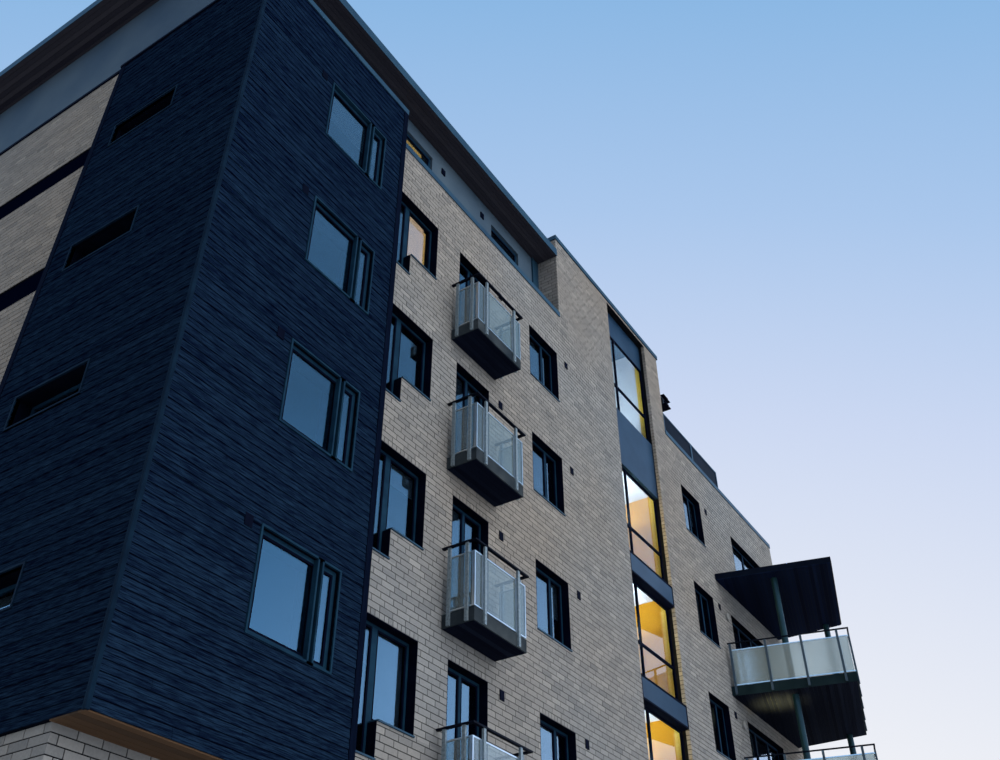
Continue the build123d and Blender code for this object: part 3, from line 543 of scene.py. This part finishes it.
node_surfaces = {
    mortar: ("front_wall_lower", "front_wall_upper", "left_wall", "rear_wall", "wing_front_wall",
             "wing_end_wall", "tower_front_wall", "tower_side_walls", "tower_rear_wall"),
    teal_metal: ("tower_cap", "parapet_copings", "window_sills", "terrace_rail_frame"),
    orange_wall: ("stair_side_walls", "stair_rear_wall"),
    white_plaster: ("stair_flights", "stair_landings", "stair_treads"),
    floor_concrete: ("ground_floor", "main_floors", "back_floors", "wing_floors", "bay_floors"),
    panel: ("penthouse_front_wall", "penthouse_side_walls", "penthouse_rear_wall"),
    timber_back: ("bay_front_wall", "bay_side_walls"),
    dark_panel: ("corner_canopy", "terrace_rail_panels"),
    frame_paint: ("window_frames", "entrance_doors"),
    black_lining: ("stair_window_frames", "wall_vents"),
    orange_rail: ("stair_handrails",), slab_concrete: ("balcony_slabs",), brown_boards: ("bay_soffit",),
    band_boards: ("side_band_boards",), roof_felt: ("penthouse_roof",), window_glass: ("window_glass",),
    stair_glass: ("stair_window_glass",), spandrel_paint: ("stair_spandrels",),
    galvanised: ("balcony_posts",), aluminium: ("balcony_panel_frames",), rail_paint: ("balcony_rails",),
    clear_glass: ("balcony_glass",), frosted_glass: ("corner_balcony_glass",),
    column_paint: ("corner_columns",), lamp_cover: ("wall_lamps",),
}
for surface, names in node_surfaces.items():
    for name in names:
        nodes[name].data.materials.clear()
        nodes[name].data.materials.append(surface)


# Bricks: each wall face is laid in courses, cut round its openings

dice = random.Random(random_seed)


def tone_near(middle, spread):
    """A random tone."""
    return min(1.0, max(0.0, dice.gauss(middle, spread)))


def courses(bottom, top, cuts):
    """Heights of the courses of a wall, with the heights where openings start or end."""
    number = math.floor((bottom - course_phase) / course)
    while course_phase + number * course < top:
        start = course_phase + number * course + brick_joint / 2
        end = start + course - brick_joint
        edges = [max(start, bottom)] + sorted({cut for cut in cuts if start < cut < end}) + [min(end, top)]
        for low_edge, high_edge in zip(edges, edges[1:]):
            if high_edge - low_edge > thinnest_brick:
                yield number, low_edge, high_edge
        number += 1


def brick_stops(start, a, b, shift, headers):
    """Where bricks start on a stretch from a to b, in a third bond, with upright bricks over the openings."""
    stops = [a]
    first = math.floor((a - start) / brick_length - shift / 3) * brick_length + start
    stop = first + shift / 3 * brick_length
    while stop < b:
        if stop > a + end_margin and stop < b - end_margin:
            stops.append(stop)
        stop += brick_length
    for left, right in headers:
        if left < b and right > a:
            stops = [value for value in stops if not left - end_margin < value < right + end_margin]
            stop = max(left, a)
            while stop < min(right, b) + 0.01:
                stops.append(stop)
                stop += brick_length / 3
    return sorted(set(stops)) + [b]


def lay_bricks(name, place, start, end, bottom, top, openings=(), band=()):
    """Bricks on one face, between two distances along it; a band is a hole without upright bricks over it."""
    shape = Shape(name)
    cuts = [edge for hole in [*openings, *band] for edge in hole[2:]]
    for number, low_edge, high_edge in courses(bottom, top, cuts):
        shift = (0, 1, 2, 1)[number % 4]
        holes = [hole[:2] for hole in [*openings, *band]
                 if hole[2] < high_edge - 0.002 and hole[3] > low_edge + 0.002]
        headers = [hole[:2] for hole in openings if 0 < low_edge - round(hole[3], 3) < course]
        for a, b in gaps(start, end, holes):
            stops = brick_stops(start, a, b, shift, headers)
            for brick_start, brick_end in zip(stops, stops[1:]):
                one = brick_start + (brick_joint / 2 if brick_start > a else 0)
                two = brick_end - (brick_joint / 2 if brick_end < b else 0)
                if two - one < shortest_brick:
                    continue
                tone = tone_near(0.55, 0.085)
                proud = brick_proud + dice.uniform(-0.0015, 0.001)
                corners = [place(distance, height, depth) for height in (low_edge, high_edge)
                           for distance, depth in ((one, proud), (two, proud), (two, 0), (one, 0))]
                shape.prism(corners, tone, ("back",))
    shape.finish(brick)


front_face = face("y", front_y, -1)
tower_left_face = face("x", tower_left, -1, -1)
bay_hole = [(bay_left_x - 1, bay_right_x, bay_bottom, brick_top + 1)]
side_gaps = [(-box[1].y, -box[0].y, box[0].z, box[1].z) for box in island_boxes("side_band_boards")]
side_gaps.append((-bay_rear_y, -bay_front_y, bay_bottom, brick_top + 1))
lay_bricks("bricks_main_front", front_face, left_x - brick_proud, tower_left, 0, brick_top,
           [hole for hole in front_openings if hole[1] < tower_left], bay_hole)
lay_bricks("bricks_tower_front", front_face, tower_left, tower_right, 0, tower_top, (), [strip])
lay_bricks("bricks_wing_front", front_face, tower_right, right_x + brick_proud, 0, brick_top,
           [hole for hole in front_openings if hole[0] > tower_right])
lay_bricks("bricks_strip_left", face("x", strip[0], 1), front_y, front_y + strip_brick, *strip[2:])
lay_bricks("bricks_strip_right", face("x", strip[1], -1, -1), -front_y - strip_brick, -front_y, *strip[2:])

# Yellow linings on the jambs of the strip behind the glass
strip_linings = Shape("strip_linings")
lining_depths = (high("stair_window_frames").y, high("tower_front_wall").y)
lined = (strip[0] + lining, strip[1] - lining, *strip[2:])
strip_linings.ring(strip, lined, lining_depths, skip=("bottom", "top"))
strip_linings.finish(yellow_paint, bevel=0.002)

lay_bricks("bricks_left_side", face("x", left_x, -1, -1), -rear_y, -front_y, 0, brick_top, (), side_gaps)
lay_bricks("bricks_right_side", face("x", right_x, 1), front_y, rear_y, 0, brick_top)
lay_bricks("bricks_rear", face("y", rear_y, 1, -1), -right_x - brick_proud, -left_x + brick_proud,
           0, brick_top, [turned(hole) for hole in rear_openings])
lay_bricks("bricks_tower_left", tower_left_face, -top_front_y, -front_y, deck, tower_top)
lay_bricks("bricks_tower_left_top", tower_left_face, -tower_rear, -top_front_y, roof_high.z, tower_top)
lay_bricks("bricks_tower_right", face("x", tower_right, 1), front_y, tower_rear, deck, tower_top)
lay_bricks("bricks_tower_rear", face("y", tower_rear, 1, -1), -tower_right, -tower_left, deck, tower_top)

# Roof felt in lapped strips on the deck, turned up inside the parapets
felt = Shape("deck_felt")
inner_front = high("wing_front_wall").y
inner_right = low("wing_end_wall").x
inner_rear = low("rear_wall").y
tower_side = tower_right + brick_proud
for x_start, x_end, y_start in ((tower_side, inner_right, inner_front),
                                (tower_left, tower_side, tower_rear + brick_proud)):
    for start, end in runs(x_start, x_end - 0.01, felt_width, 0, x_end):
        felt.block((start, y_start, deck), (end, inner_rear, deck + felt_rise))
        if end < x_end:
            felt.block((end - felt_lap, y_start, deck + felt_rise), (end, inner_rear, deck + felt_rise * 1.6))
felt.block((tower_right, inner_front, deck), (inner_right, inner_front + felt_rise, brick_top))
felt.block((inner_right - felt_rise, inner_front, deck), (inner_right, inner_rear, brick_top))
felt.block((tower_left, inner_rear - felt_rise, deck), (inner_right, inner_rear, brick_top))
felt.finish(roof_felt)


# Dark sheet on the jambs and heads of the openings, from the brick face to the frame

def lined_openings(name, openings, y_face, y_frame):
    """Linings of the openings of one wall, left out where two openings touch."""
    shape = Shape(name)
    y_low, y_high = sorted((y_face, y_frame))
    for left, right, bottom, top in openings:
        for side, edge, inward in ((0, left, 1), (1, right, -1)):
            beside = [other[2:] for other in openings
                      if abs(other[1 - side] - edge) < 0.07 and (edge - other[side]) * inward > 0
                      and other[2] < top and other[3] > bottom]
            start, end = sorted((edge, edge + inward * lining))
            for a, b in gaps(bottom, top, beside):
                shape.block((start, y_low, a), (end, y_high, b))
        shape.block((left, y_low, top - lining), (right, y_high, top))
    shape.finish(black_lining)


frame_boxes = island_boxes("window_frames")
frame_front = min(box[0].y for box in frame_boxes if box[0].y > front_y)
frame_rear = max(box[1].y for box in frame_boxes)
lined_openings("front_linings", front_openings, front_y - brick_proud, frame_front)
lined_openings("rear_linings", rear_openings, rear_y + brick_proud, frame_rear)


# Sashes round the panes

def sashes(name, panes, out):
    """Slim rings in front of the panes; out is -1 towards the street and 1 towards the rear."""
    shape = Shape(name)
    for lo, hi in panes:
        y_glass = lo.y if out < 0 else hi.y
        pane = (lo.x, hi.x, lo.z, hi.z)
        shape.ring(pane, grown(pane, -sash_width), sorted((y_glass, y_glass + out * sash_depth)))
    shape.finish(black_lining)


sashes("street_sashes", front_panes + bay_panes + top_panes, -1)
sashes("rear_sashes", rear_panes, 1)

# Dark edges round the projecting panels of the stair strip, and a dark underside
edges = Shape("spandrel_edges")
for lo, hi in island_boxes("stair_spandrels"):
    if lo.y < front_y + 0.02:
        (x0, y1, z0), (x1, y2, z1) = lo, hi
        y0 = y1 - spandrel_edge_depth
        edges.block((x0, y0, z0 - edge_lap), (x1, y1, z0 + spandrel_edge))
        edges.block((x0, y0, z1 - spandrel_edge), (x1, y1, z1 + edge_lap))
        edges.block((x0, y0, z0), (x0 + spandrel_edge, y1, z1))
        edges.block((x1 - spandrel_edge, y0, z0), (x1, y1, z1))
        edges.block((x0, y1, z0 - edge_lap), (x1, y2, z0))
edges.finish(black_lining)

# Dark trim where the brick and timber of the left side end under the set-back storey
trim_start = bay_rear_y + 0.03
trim_foot = brick_top - edge_lap
blocks("left_side_trim", black_lining, "dark_sheet_metal",
       ((left_x - 0.035, trim_start, trim_foot), (left_x, rear_y, brick_top + 0.07)),
       ((bay_left_x - 0.045, bay_front_y - 0.03, trim_foot), (bay_left_x, trim_start, brick_top + 0.05)))

# Fins and arm of the lamp on the tower
lamp_boxes = island_boxes("wall_lamps")
lamp_low, lamp_high = [box for box in lamp_boxes if box[0].z > coping_top][0]
fins = Shape("tower_lamp_fins")
fin_low = Vector((lamp_high.x - 0.3, lamp_low.y - 0.08, lamp_low.z - 0.02))
fin_high = Vector((lamp_high.x + 0.08, lamp_high.y + 0.08, lamp_low.z))
for number in range(4):
    inward = 0.04 * (number % 2)
    fins.block((fin_low.x + inward, fin_low.y + inward, fin_low.z + number * fin_gap),
               (fin_high.x - inward, fin_high.y - inward, fin_high.z + number * fin_gap))
fins.block((lamp_high.x - 0.16, lamp_low.y + 0.02, lamp_high.z),
           (lamp_high.x - 0.04, lamp_high.y - 0.02, fin_high.z + 3 * fin_gap))
fins.finish(black_lining, bevel=0.004)


# Timber boards of the bay

def clad(name, place, start, end, openings=()):
    """Horizontal boards with sloped upper edges on one face of the bay, in lengths that butt at random."""
    shape = Shape(name)
    for row in range(math.ceil((brick_top - bay_bottom) / board_pitch)):
        row_low = bay_bottom + row * board_pitch
        row_high = min(row_low + board_pitch, brick_top)
        groove = row_low + board_pitch * 0.55
        inner = [edge for hole in openings for edge in hole[2:] if row_low + 0.01 < edge < row_high - 0.01]
        cuts = sorted({row_low, row_high, min(groove, row_high), *inner})
        proud = board_proud + dice.choice((-0.003, 0.0, 0.002))
        seam = start + dice.uniform(0.3, 4.0)
        row_tone = dice.gauss(0.3, 0.05)
        for low_edge, high_edge in zip(cuts, cuts[1:]):
            middle = (low_edge + high_edge) / 2
            holes = [hole[:2] for hole in openings if hole[2] < middle < hole[3]]
            out = proud - (board_step if middle > groove else 0)
            foot = low_edge + (0.002 if abs(low_edge - groove) < 0.001 else board_seam)
            head = high_edge - board_edge
            for a, b in gaps(start, end, [*holes, (seam, seam + board_edge)]):
                tone = min(0.9, max(0.0, row_tone + dice.gauss(0, 0.03)))
                shape.prism([place(a, foot, out), place(b, foot, out), place(b, foot, 0), place(a, foot, 0),
                             place(a, head, out - 0.003), place(b, head, out - 0.003),
                             place(b, high_edge, 0), place(a, high_edge, 0)], tone, ("back",))
    shape.finish(timber)


bay_side_face = face("x", bay_left_x, -1, -1)
clad("boards_bay_front", face("y", bay_front_y, -1), bay_left_x, bay_right_x, bay_openings)
clad("boards_bay_side", bay_side_face, -bay_rear_y, -bay_front_y, [turned(hole) for hole in strip_openings])
clad("boards_bay_return", face("x", bay_right_x, 1), bay_front_y, front_y)

thick = board_proud + profile_thickness
bay_foot = bay_bottom - edge_lap
left_out = bay_left_x - thick
right_out = bay_right_x + thick
front_out = bay_front_y - thick
blocks("bay_corner_profiles", corner_metal, "dark_sheet_metal",
       ((left_out, front_out, bay_foot), (bay_left_x + corner_profile, bay_front_y, brick_top)),
       ((left_out, bay_front_y, bay_foot), (bay_left_x, bay_front_y + corner_profile, brick_top)),
       bevel=0.003)
blocks("bay_edge_boards", timber_trim, "dark_timber",
       ((bay_right_x - edge_board, front_out, bay_foot), (right_out, bay_front_y, brick_top)),
       ((bay_right_x, bay_front_y, bay_foot), (right_out, bay_front_y + edge_board, brick_top)),
       ((bay_right_x, front_y - 0.05, bay_foot), (bay_right_x + 0.05, front_y, brick_top)),
       ((left_out, bay_rear_y - edge_board, bay_foot), (bay_left_x, trim_start, brick_top)), bevel=0.003)

# Frames round the bay's windows, standing a little out of the boards
surround = Shape("bay_window_surrounds")
surround_depths = (bay_front_y - board_proud - 0.015, bay_front_y + surround_back)
for hole in bay_openings:
    beside = [other for other in bay_openings if other != hole and other[2] == hole[2]]
    joined = any(abs(other[1] - hole[0]) < 0.01 for other in beside)
    surround.ring(grown(hole, surround_face), hole, surround_depths, skip=("left",) if joined else ())
surround.finish(frame_paint)
strip_surround = Shape("strip_window_surrounds")
for hole in strip_openings:
    strip_surround.ring(grown(hole, surround_face), hole,
                        (bay_left_x - board_proud - 0.012, bay_left_x + surround_back), "x")
strip_surround.finish(corner_metal)


# Soffit boards under the roof, the bay, the balconies and the canopy

def clipped(outline, normal, low_edge, high_edge):
    """The part of a flat outline between two parallel lines."""
    for side, limit in ((1, low_edge), (-1, -high_edge)):
        kept = []
        for number, point in enumerate(outline):
            ahead = outline[(number + 1) % len(outline)]
            here, there = side * point.dot(normal) - limit, side * ahead.dot(normal) - limit
            if here >= 0:
                kept.append(point)
            if here * there < 0:
                kept.append(point + (ahead - point) * (here / (here - there)))
        outline = kept
    return outline


def skewed_soffit(name, levels, surface):
    """Boards under the skewed slabs, running along their free front."""
    shape = Shape(name)
    reach = [point.dot(corner_across) for point in corner_outline]
    for level in levels:
        for start, end in runs(min(reach) + 0.03, max(reach) - 0.05, slab_board, 0.007):
            points = clipped(corner_outline, corner_across, start, end)
            shape.plate(points, level - slab_depth, level, tone_near(0.4, 0.2), "bottom")
    shape.finish(surface)


canopy_mesh = nodes["corner_canopy"].data
canopy_points = sorted({(round(vertex.co.x, 4), round(vertex.co.y, 4)) for vertex in canopy_mesh.vertices})
wall_points = [point for point in canopy_points if abs(point[1] - front_y) < 0.01]
free_points = [point for point in canopy_points if point not in wall_points]
corner_outline = [Vector(point) for point in (wall_points[0], free_points[0], free_points[-1],
                                              wall_points[-1])]
corner_ahead = (corner_outline[2] - corner_outline[1]).normalized()
corner_across = Vector((-corner_ahead.y, corner_ahead.x))
slab_boxes = island_boxes("balcony_slabs")
corner_slabs = [box for box in slab_boxes if box[0].x > tower_right]
small_slabs = [box for box in slab_boxes if box[0].x < tower_right]
skewed_soffit("canopy_soffit_boards", [low("corner_canopy").z], soffit_boards)
skewed_soffit("corner_soffit_boards", [box[0].z for box in corner_slabs], slab_soffit)

# Boards laid on the balconies
decking = Shape("balcony_decking")
for lo, hi in small_slabs:
    deck_end = hi.x - deck_inset
    for start, end in runs(lo.x + deck_inset, deck_end, deck_board, board_seam, deck_end):
        decking.block((start, lo.y + deck_inset, hi.z), (end, front_y, hi.z + deck_rise), dice.random())
middle = sum(corner_outline, Vector((0, 0))) / 4
inner_outline = [middle + (point - middle) * 0.94 for point in corner_outline]
reach = sorted(point.dot(corner_across) for point in inner_outline)
for lo, hi in corner_slabs:
    for start, end in runs(reach[0], reach[-1] - 0.02, deck_board, board_seam):
        points = [Vector((point.x, min(point.y, front_y)))
                  for point in clipped(inner_outline, corner_across, start, end)]
        decking.plate(points, hi.z, hi.z + deck_rise, dice.random(), "top")
decking.finish(deck_timber)

# Thin sheet round the corner balconies' slabs
covers = Shape("corner_slab_covers")
for lo, hi in corner_slabs:
    for start, end in zip(corner_outline, corner_outline[1:]):
        run = (end - start).normalized()
        out = Vector((run.y, -run.x)) * slab_cover
        if out.y > 0:
            out = -out
        covers.prism([(point.x, point.y, height) for height in (lo.z - 0.02, hi.z + 0.005)
                      for point in (start + out, end + out, end, start)])
covers.finish(cover_paint)

under = Shape("balcony_soffit_boards")
for lo, hi in small_slabs:
    for start, end in runs(lo.y + soffit_inset, hi.y - 0.03, slab_board, board_seam, hi.y):
        under.block((lo.x + soffit_inset, start, lo.z - under_depth), (hi.x - soffit_inset, end, lo.z),
                    tone_near(0.3, 0.15), ("top",))
under.finish(slab_soffit)


def soffit(name, x_span, y_span, z, along, width, surface):
    """Boards side by side on an underside, running along x or y."""
    shape = Shape(name)
    across = y_span if along == "x" else x_span
    for board in runs(across[0], across[1] - 0.02, width, board_seam, across[1]):
        (x0, x1), (y0, y1) = (x_span, board) if along == "x" else (board, y_span)
        shape.block((x0, y0, z - soffit_thickness), (x1, y1, z), tone_near(0.45, 0.22), ("top",))
    shape.finish(surface)


roof_x = (roof_low.x, roof_high.x)
for name, x_span, y_span, along in (
        ("roof_soffit_front", roof_x, (roof_low.y, top_front_y), "x"),
        ("roof_soffit_left", (roof_low.x, left_x), (top_front_y, top_rear_y), "y"),
        ("roof_soffit_rear", roof_x, (top_rear_y, roof_high.y), "x")):
    soffit(name, x_span, y_span, roof_low.z, along, soffit_board, roof_boards)
soffit("bay_soffit_boards", (bay_left_x, bay_right_x), (bay_front_y, front_y), bay_bottom, "x",
       bay_soffit_board, brown_boards)

# Teal sheet round the roof's edge
edge_left = roof_low.x - roof_sheet
edge_foot = roof_low.z - 0.02
edge_head = roof_high.z + 0.004
blocks("roof_edge_sheet", teal_metal, "dark_sheet_metal",
       ((edge_left, roof_low.y - roof_sheet, edge_foot), (roof_high.x, roof_low.y, edge_head)),
       ((edge_left, roof_high.y, edge_foot), (roof_high.x, roof_high.y + roof_sheet, edge_head)),
       ((edge_left, roof_low.y, edge_foot), (roof_low.x, roof_high.y, edge_head)))


# Blinds of thin slats inside some of the windows

def slats(shape, place, start, end, heights, depth):
    """Tilted slats between two distances along a wall, hung from the upper height down to the lower."""
    height = heights[1] - slat_pitch
    rise = slat_pitch + slat_thickness
    while height > heights[0]:
        shape.prism([place(distance, height + up + extra, -depth - lean) for extra in (0, slat_thickness)
                     for distance, up, lean in ((start, 0, 0), (end, 0, 0), (end, rise, slat_lean),
                                                (start, rise, slat_lean))])
        height -= slat_pitch


def hang(shape, box, across=(0, 1), drop=1.0, gap=blind_gap):
    """A blind behind a pane of the front, over a share of its width and height."""
    width, height = box[1].x - box[0].x, box[1].z - box[0].z
    slats(shape, front_face, box[0].x + across[0] * width, box[0].x + across[1] * width,
          (box[1].z - drop * height, box[1].z), box[1].y - front_y + gap)


blinds = Shape("window_blinds")
for lo, hi in strip_panes:
    slats(blinds, bay_side_face, -hi.y, -lo.y, (lo.z, hi.z), hi.x - bay_left_x + 0.06)
for box in bay_panes:
    if box[0].z > top_floor:
        hang(blinds, box, drop=0.55)
for number, box in enumerate(front_panes):
    hang(blinds, box, drop=(0.0, 1.0, 0.3, 0.0, 0.0, 0.55, 0.0)[number % 7])
blinds.finish(blind_paint)

# Blinds that glow, painted light standing in for a room lamp, in one window of the top brick storey and one
# of the set-back storey
glowing_pane = [box for box in front_panes if box[0].z > top_floor and 4.9 < tower_left - box[1].x < 5.4][0]
glowing_top_pane = min((box for box in top_panes if box[0].y < top_front_y + 1), key=lambda box: box[0].x)
glowing_share = 0.82
glowing_blind = Shape("glowing_blind")
hang(glowing_blind, glowing_pane, (0, glowing_share))
glowing_blind.finish(cream_blind)
warm_blind = Shape("warm_blind")
hang(warm_blind, glowing_pane, (glowing_share, 1), gap=0.09)
hang(warm_blind, glowing_top_pane, (0, 0.85))
warm_blind.finish(yellow_blind)

# A dark sheet at the end of the set-back storey, beside the tower
panel_left = tower_left - end_panel_width
panel_head = roof_low.z - soffit_thickness
blocks("penthouse_end_panel", teal_metal, "dark_sheet_metal",
       ((panel_left, top_front_y - 0.03, coping_top), (tower_left, top_front_y, panel_head)),
       ((panel_left - end_panel_post, top_front_y - 0.045, coping_top),
        (panel_left, top_front_y, panel_head)))


# Bolts on the posts of the balconies

def bolts(name, places, axis):
    """Six-sided heads at some heights over the feet of posts, each standing out along an axis."""
    shape = Shape(name)
    side = axis.cross(Vector((0, 0, 1)))
    for foot, rise in [(place, rise) for place in places for rise in bolt_heights]:
        place = Vector((foot[0], foot[1], foot[2] + rise))
        base = len(shape.corners)
        for depth in (0, bolt_length):
            for number in range(6):
                angle = math.pi / 3 * number
                point = (place + axis * depth + side * (bolt_radius * math.cos(angle))
                         + Vector((0, 0, bolt_radius * math.sin(angle))))
                shape.corners.append(tuple(point))
        for number in range(6):
            after = (number + 1) % 6
            shape.faces.append([base + number, base + after, base + 6 + after, base + 6 + number])
        shape.faces.append([base + 6 + number for number in range(6)])
        shape.tones += [0.5] * 7
    shape.finish(galvanised)


post_boxes = [box for box in island_boxes("balcony_posts") if box[1].x < tower_left]
wide_posts = [box for box in post_boxes if box[1].x - box[0].x > box[1].y - box[0].y]
deep_posts = [box for box in post_boxes if box[1].x - box[0].x < box[1].y - box[0].y
              and box[1].x < low("balcony_glass").x + 0.2]
bolts("front_post_bolts", [((lo.x + hi.x) / 2, lo.y, lo.z) for lo, hi in wide_posts], Vector((0, -1, 0)))
bolts("side_post_bolts", [(lo.x, (lo.y + hi.y) / 2, lo.z) for lo, hi in deep_posts], Vector((-1, 0, 0)))


# Camera at the photograph's view

def photo_camera():
    """The camera solved from the photograph: its place and its turns."""
    yaw, pitch, roll = math.radians(32.894), math.radians(38.239), math.radians(-0.248)
    quarter = math.pi / 2
    data = bpy.data.cameras.new("photo_camera")
    data.lens = 36.545
    data.sensor_width = 36
    data.clip_end = 500
    camera = new_object("photo_camera", data)
    place = Matrix.Translation((-18.1706, -14.6908, 1.80)) @ Matrix.Rotation(yaw - quarter, 4, "Z")
    camera.matrix_world = place @ Matrix.Rotation(pitch + quarter, 4, "X") @ Matrix.Rotation(roll, 4, "Z")
    bpy.context.scene.camera = camera


# Floor, sky and lamps

def pale_floor():
    """A plain pale floor under the block, which the camera sees a little paler than it lights."""
    reach = 150
    mesh = bpy.data.meshes.new("floor")
    mesh.from_pydata([(-reach, -reach, 0), (reach, -reach, 0), (reach, reach, 0), (-reach, reach, 0)], [],
                     [(0, 1, 2, 3)])
    surface = coated("floor_surface", (206, 208, 211), (214, 216, 219), 0.9, relief=0.02)
    target, base = base_colour(surface)
    path = add_node(surface, "ShaderNodeLightPath")
    feed(surface, target, mixed(surface, path.outputs["Is Camera Ray"], base, linear((248, 249, 250))))
    mesh.materials.append(surface)
    floor = new_object("floor", mesh)


def sky():
    """Even light from all round; the camera and reflections see an evening sky, blue to pale lilac."""
    world = bpy.data.worlds.new("sky")
    bpy.context.scene.world = world
    world.use_nodes = True
    place = add_node(world, "ShaderNodeTexCoord")
    towards = add_node(world, "ShaderNodeVectorMath")
    towards.operation = "DOT_PRODUCT"
    towards.inputs[1].default_value = sky_axis
    feed(world, towards.inputs[0], place.outputs["Generated"])
    ramp = add_node(world, "ShaderNodeValToRGB")
    for number, (position, colour) in enumerate(sky_stops):
        stop = ramp.color_ramp.elements[number] if number < 2 else ramp.color_ramp.elements.new(position)
        stop.position = position
        stop.color = linear(colour)
    feed(world, ramp.inputs["Fac"], ranged(world, towards.outputs["Value"], -0.2, 0.5))
    path = add_node(world, "ShaderNodeLightPath")
    seen, glossy, through = (path.outputs[f"Is {ray} Ray"] for ray in ("Camera", "Glossy", "Transmission"))
    shown = world.node_tree.nodes["Background"]
    feed(world, shown.inputs["Color"], ramp.outputs["Color"])
    near_ground = ranged(world, along_axis(world, "Generated", "Z"), 0.6, 0.35, 0.75, 2.4)
    mirrored = add_node(world, "ShaderNodeMix", A=1.0)
    feed(world, mirrored.inputs["Factor"], maths(world, "SUBTRACT", glossy, through))
    feed(world, mirrored.inputs["B"], near_ground)
    feed(world, shown.inputs["Strength"], mirrored.outputs["Result"])
    light = add_node(world, "ShaderNodeBackground", Color=(0.93, 0.97, 1.0, 1), Strength=sky_light)
    mix = add_node(world, "ShaderNodeMixShader")
    feed(world, mix.inputs["Fac"], maths(world, "MAXIMUM", maths(world, "MAXIMUM", seen, glossy), through))
    feed(world, mix.inputs[1], light.outputs[0])
    feed(world, mix.inputs[2], shown.outputs[0])
    feed(world, world.node_tree.nodes["World Output"].inputs["Surface"], mix.outputs[0])


def lamp(name, kind, energy, colour, place, aim, hidden, **settings):
    """A light with some settings, turned towards a point and hidden from some kinds of rays."""
    data = bpy.data.lights.new(name, kind)
    for key, value in {"energy": energy, "color": colour, **settings}.items():
        setattr(data, key, value)
    light = new_object(name, data)
    light.location = place
    light.rotation_euler = (Vector(aim) - Vector(place)).to_track_quat("-Z", "Y").to_euler()
    for ray in hidden:
        setattr(light, f"visible_{ray}", False)


photo_camera()
pale_floor()
sky()
lamp("soft_key", "SUN", 1.8, (1.0, 0.99, 0.97), (4, -45, 30), (0, 0, 8), ("glossy", "transmission"),
     angle=math.radians(70))

shaft_low = low("stair_landings")
shaft_high = high("stair_landings")
shaft_x = (shaft_low.x + shaft_high.x) / 2
for level in range(1, 13):
    lamp_y = (shaft_low.y + 0.75) if level % 2 else (shaft_high.y - 0.75)
    height = level * storey / 2 + (0.95 if level % 2 else 1.0)
    lamp(f"stair_lamp_{level}", "AREA", 56, (0.72, 0.88, 1.0), (shaft_x, lamp_y, height + 0.2),
         (shaft_x, lamp_y, height + 3), ("camera", "transmission"), shape="DISK", size=0.5,
         spread=math.radians(130))

for level in range(1, 5):
    height = level * storey + 2.6
    lamp(f"strip_glow_{level}", "AREA", 40, (1.0, 0.72, 0.25), (strip[0] + 0.3, front_y + 0.1, height),
         (strip[1], front_y + 0.05, height), ("camera", "glossy", "transmission"), shape="DISK", size=0.14)
glow_low, glow_high = [box for box in lamp_boxes if box[1].z < corner_slabs[-1][0].z][-1]
lamp("corner_glow", "SPOT", 150, (1.0, 0.66, 0.18), (glow_high.x + 0.5, glow_low.y - 0.7, glow_high.z - 0.3),
     (glow_high.x + 0.6, glow_low.y - 0.9, glow_high.z + 3), ("camera", "glossy"),
     spot_size=math.radians(100), spot_blend=1.0, shadow_soft_size=0.1)
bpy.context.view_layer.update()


scene = bpy.context.scene
scene.view_settings.view_transform = "Standard"
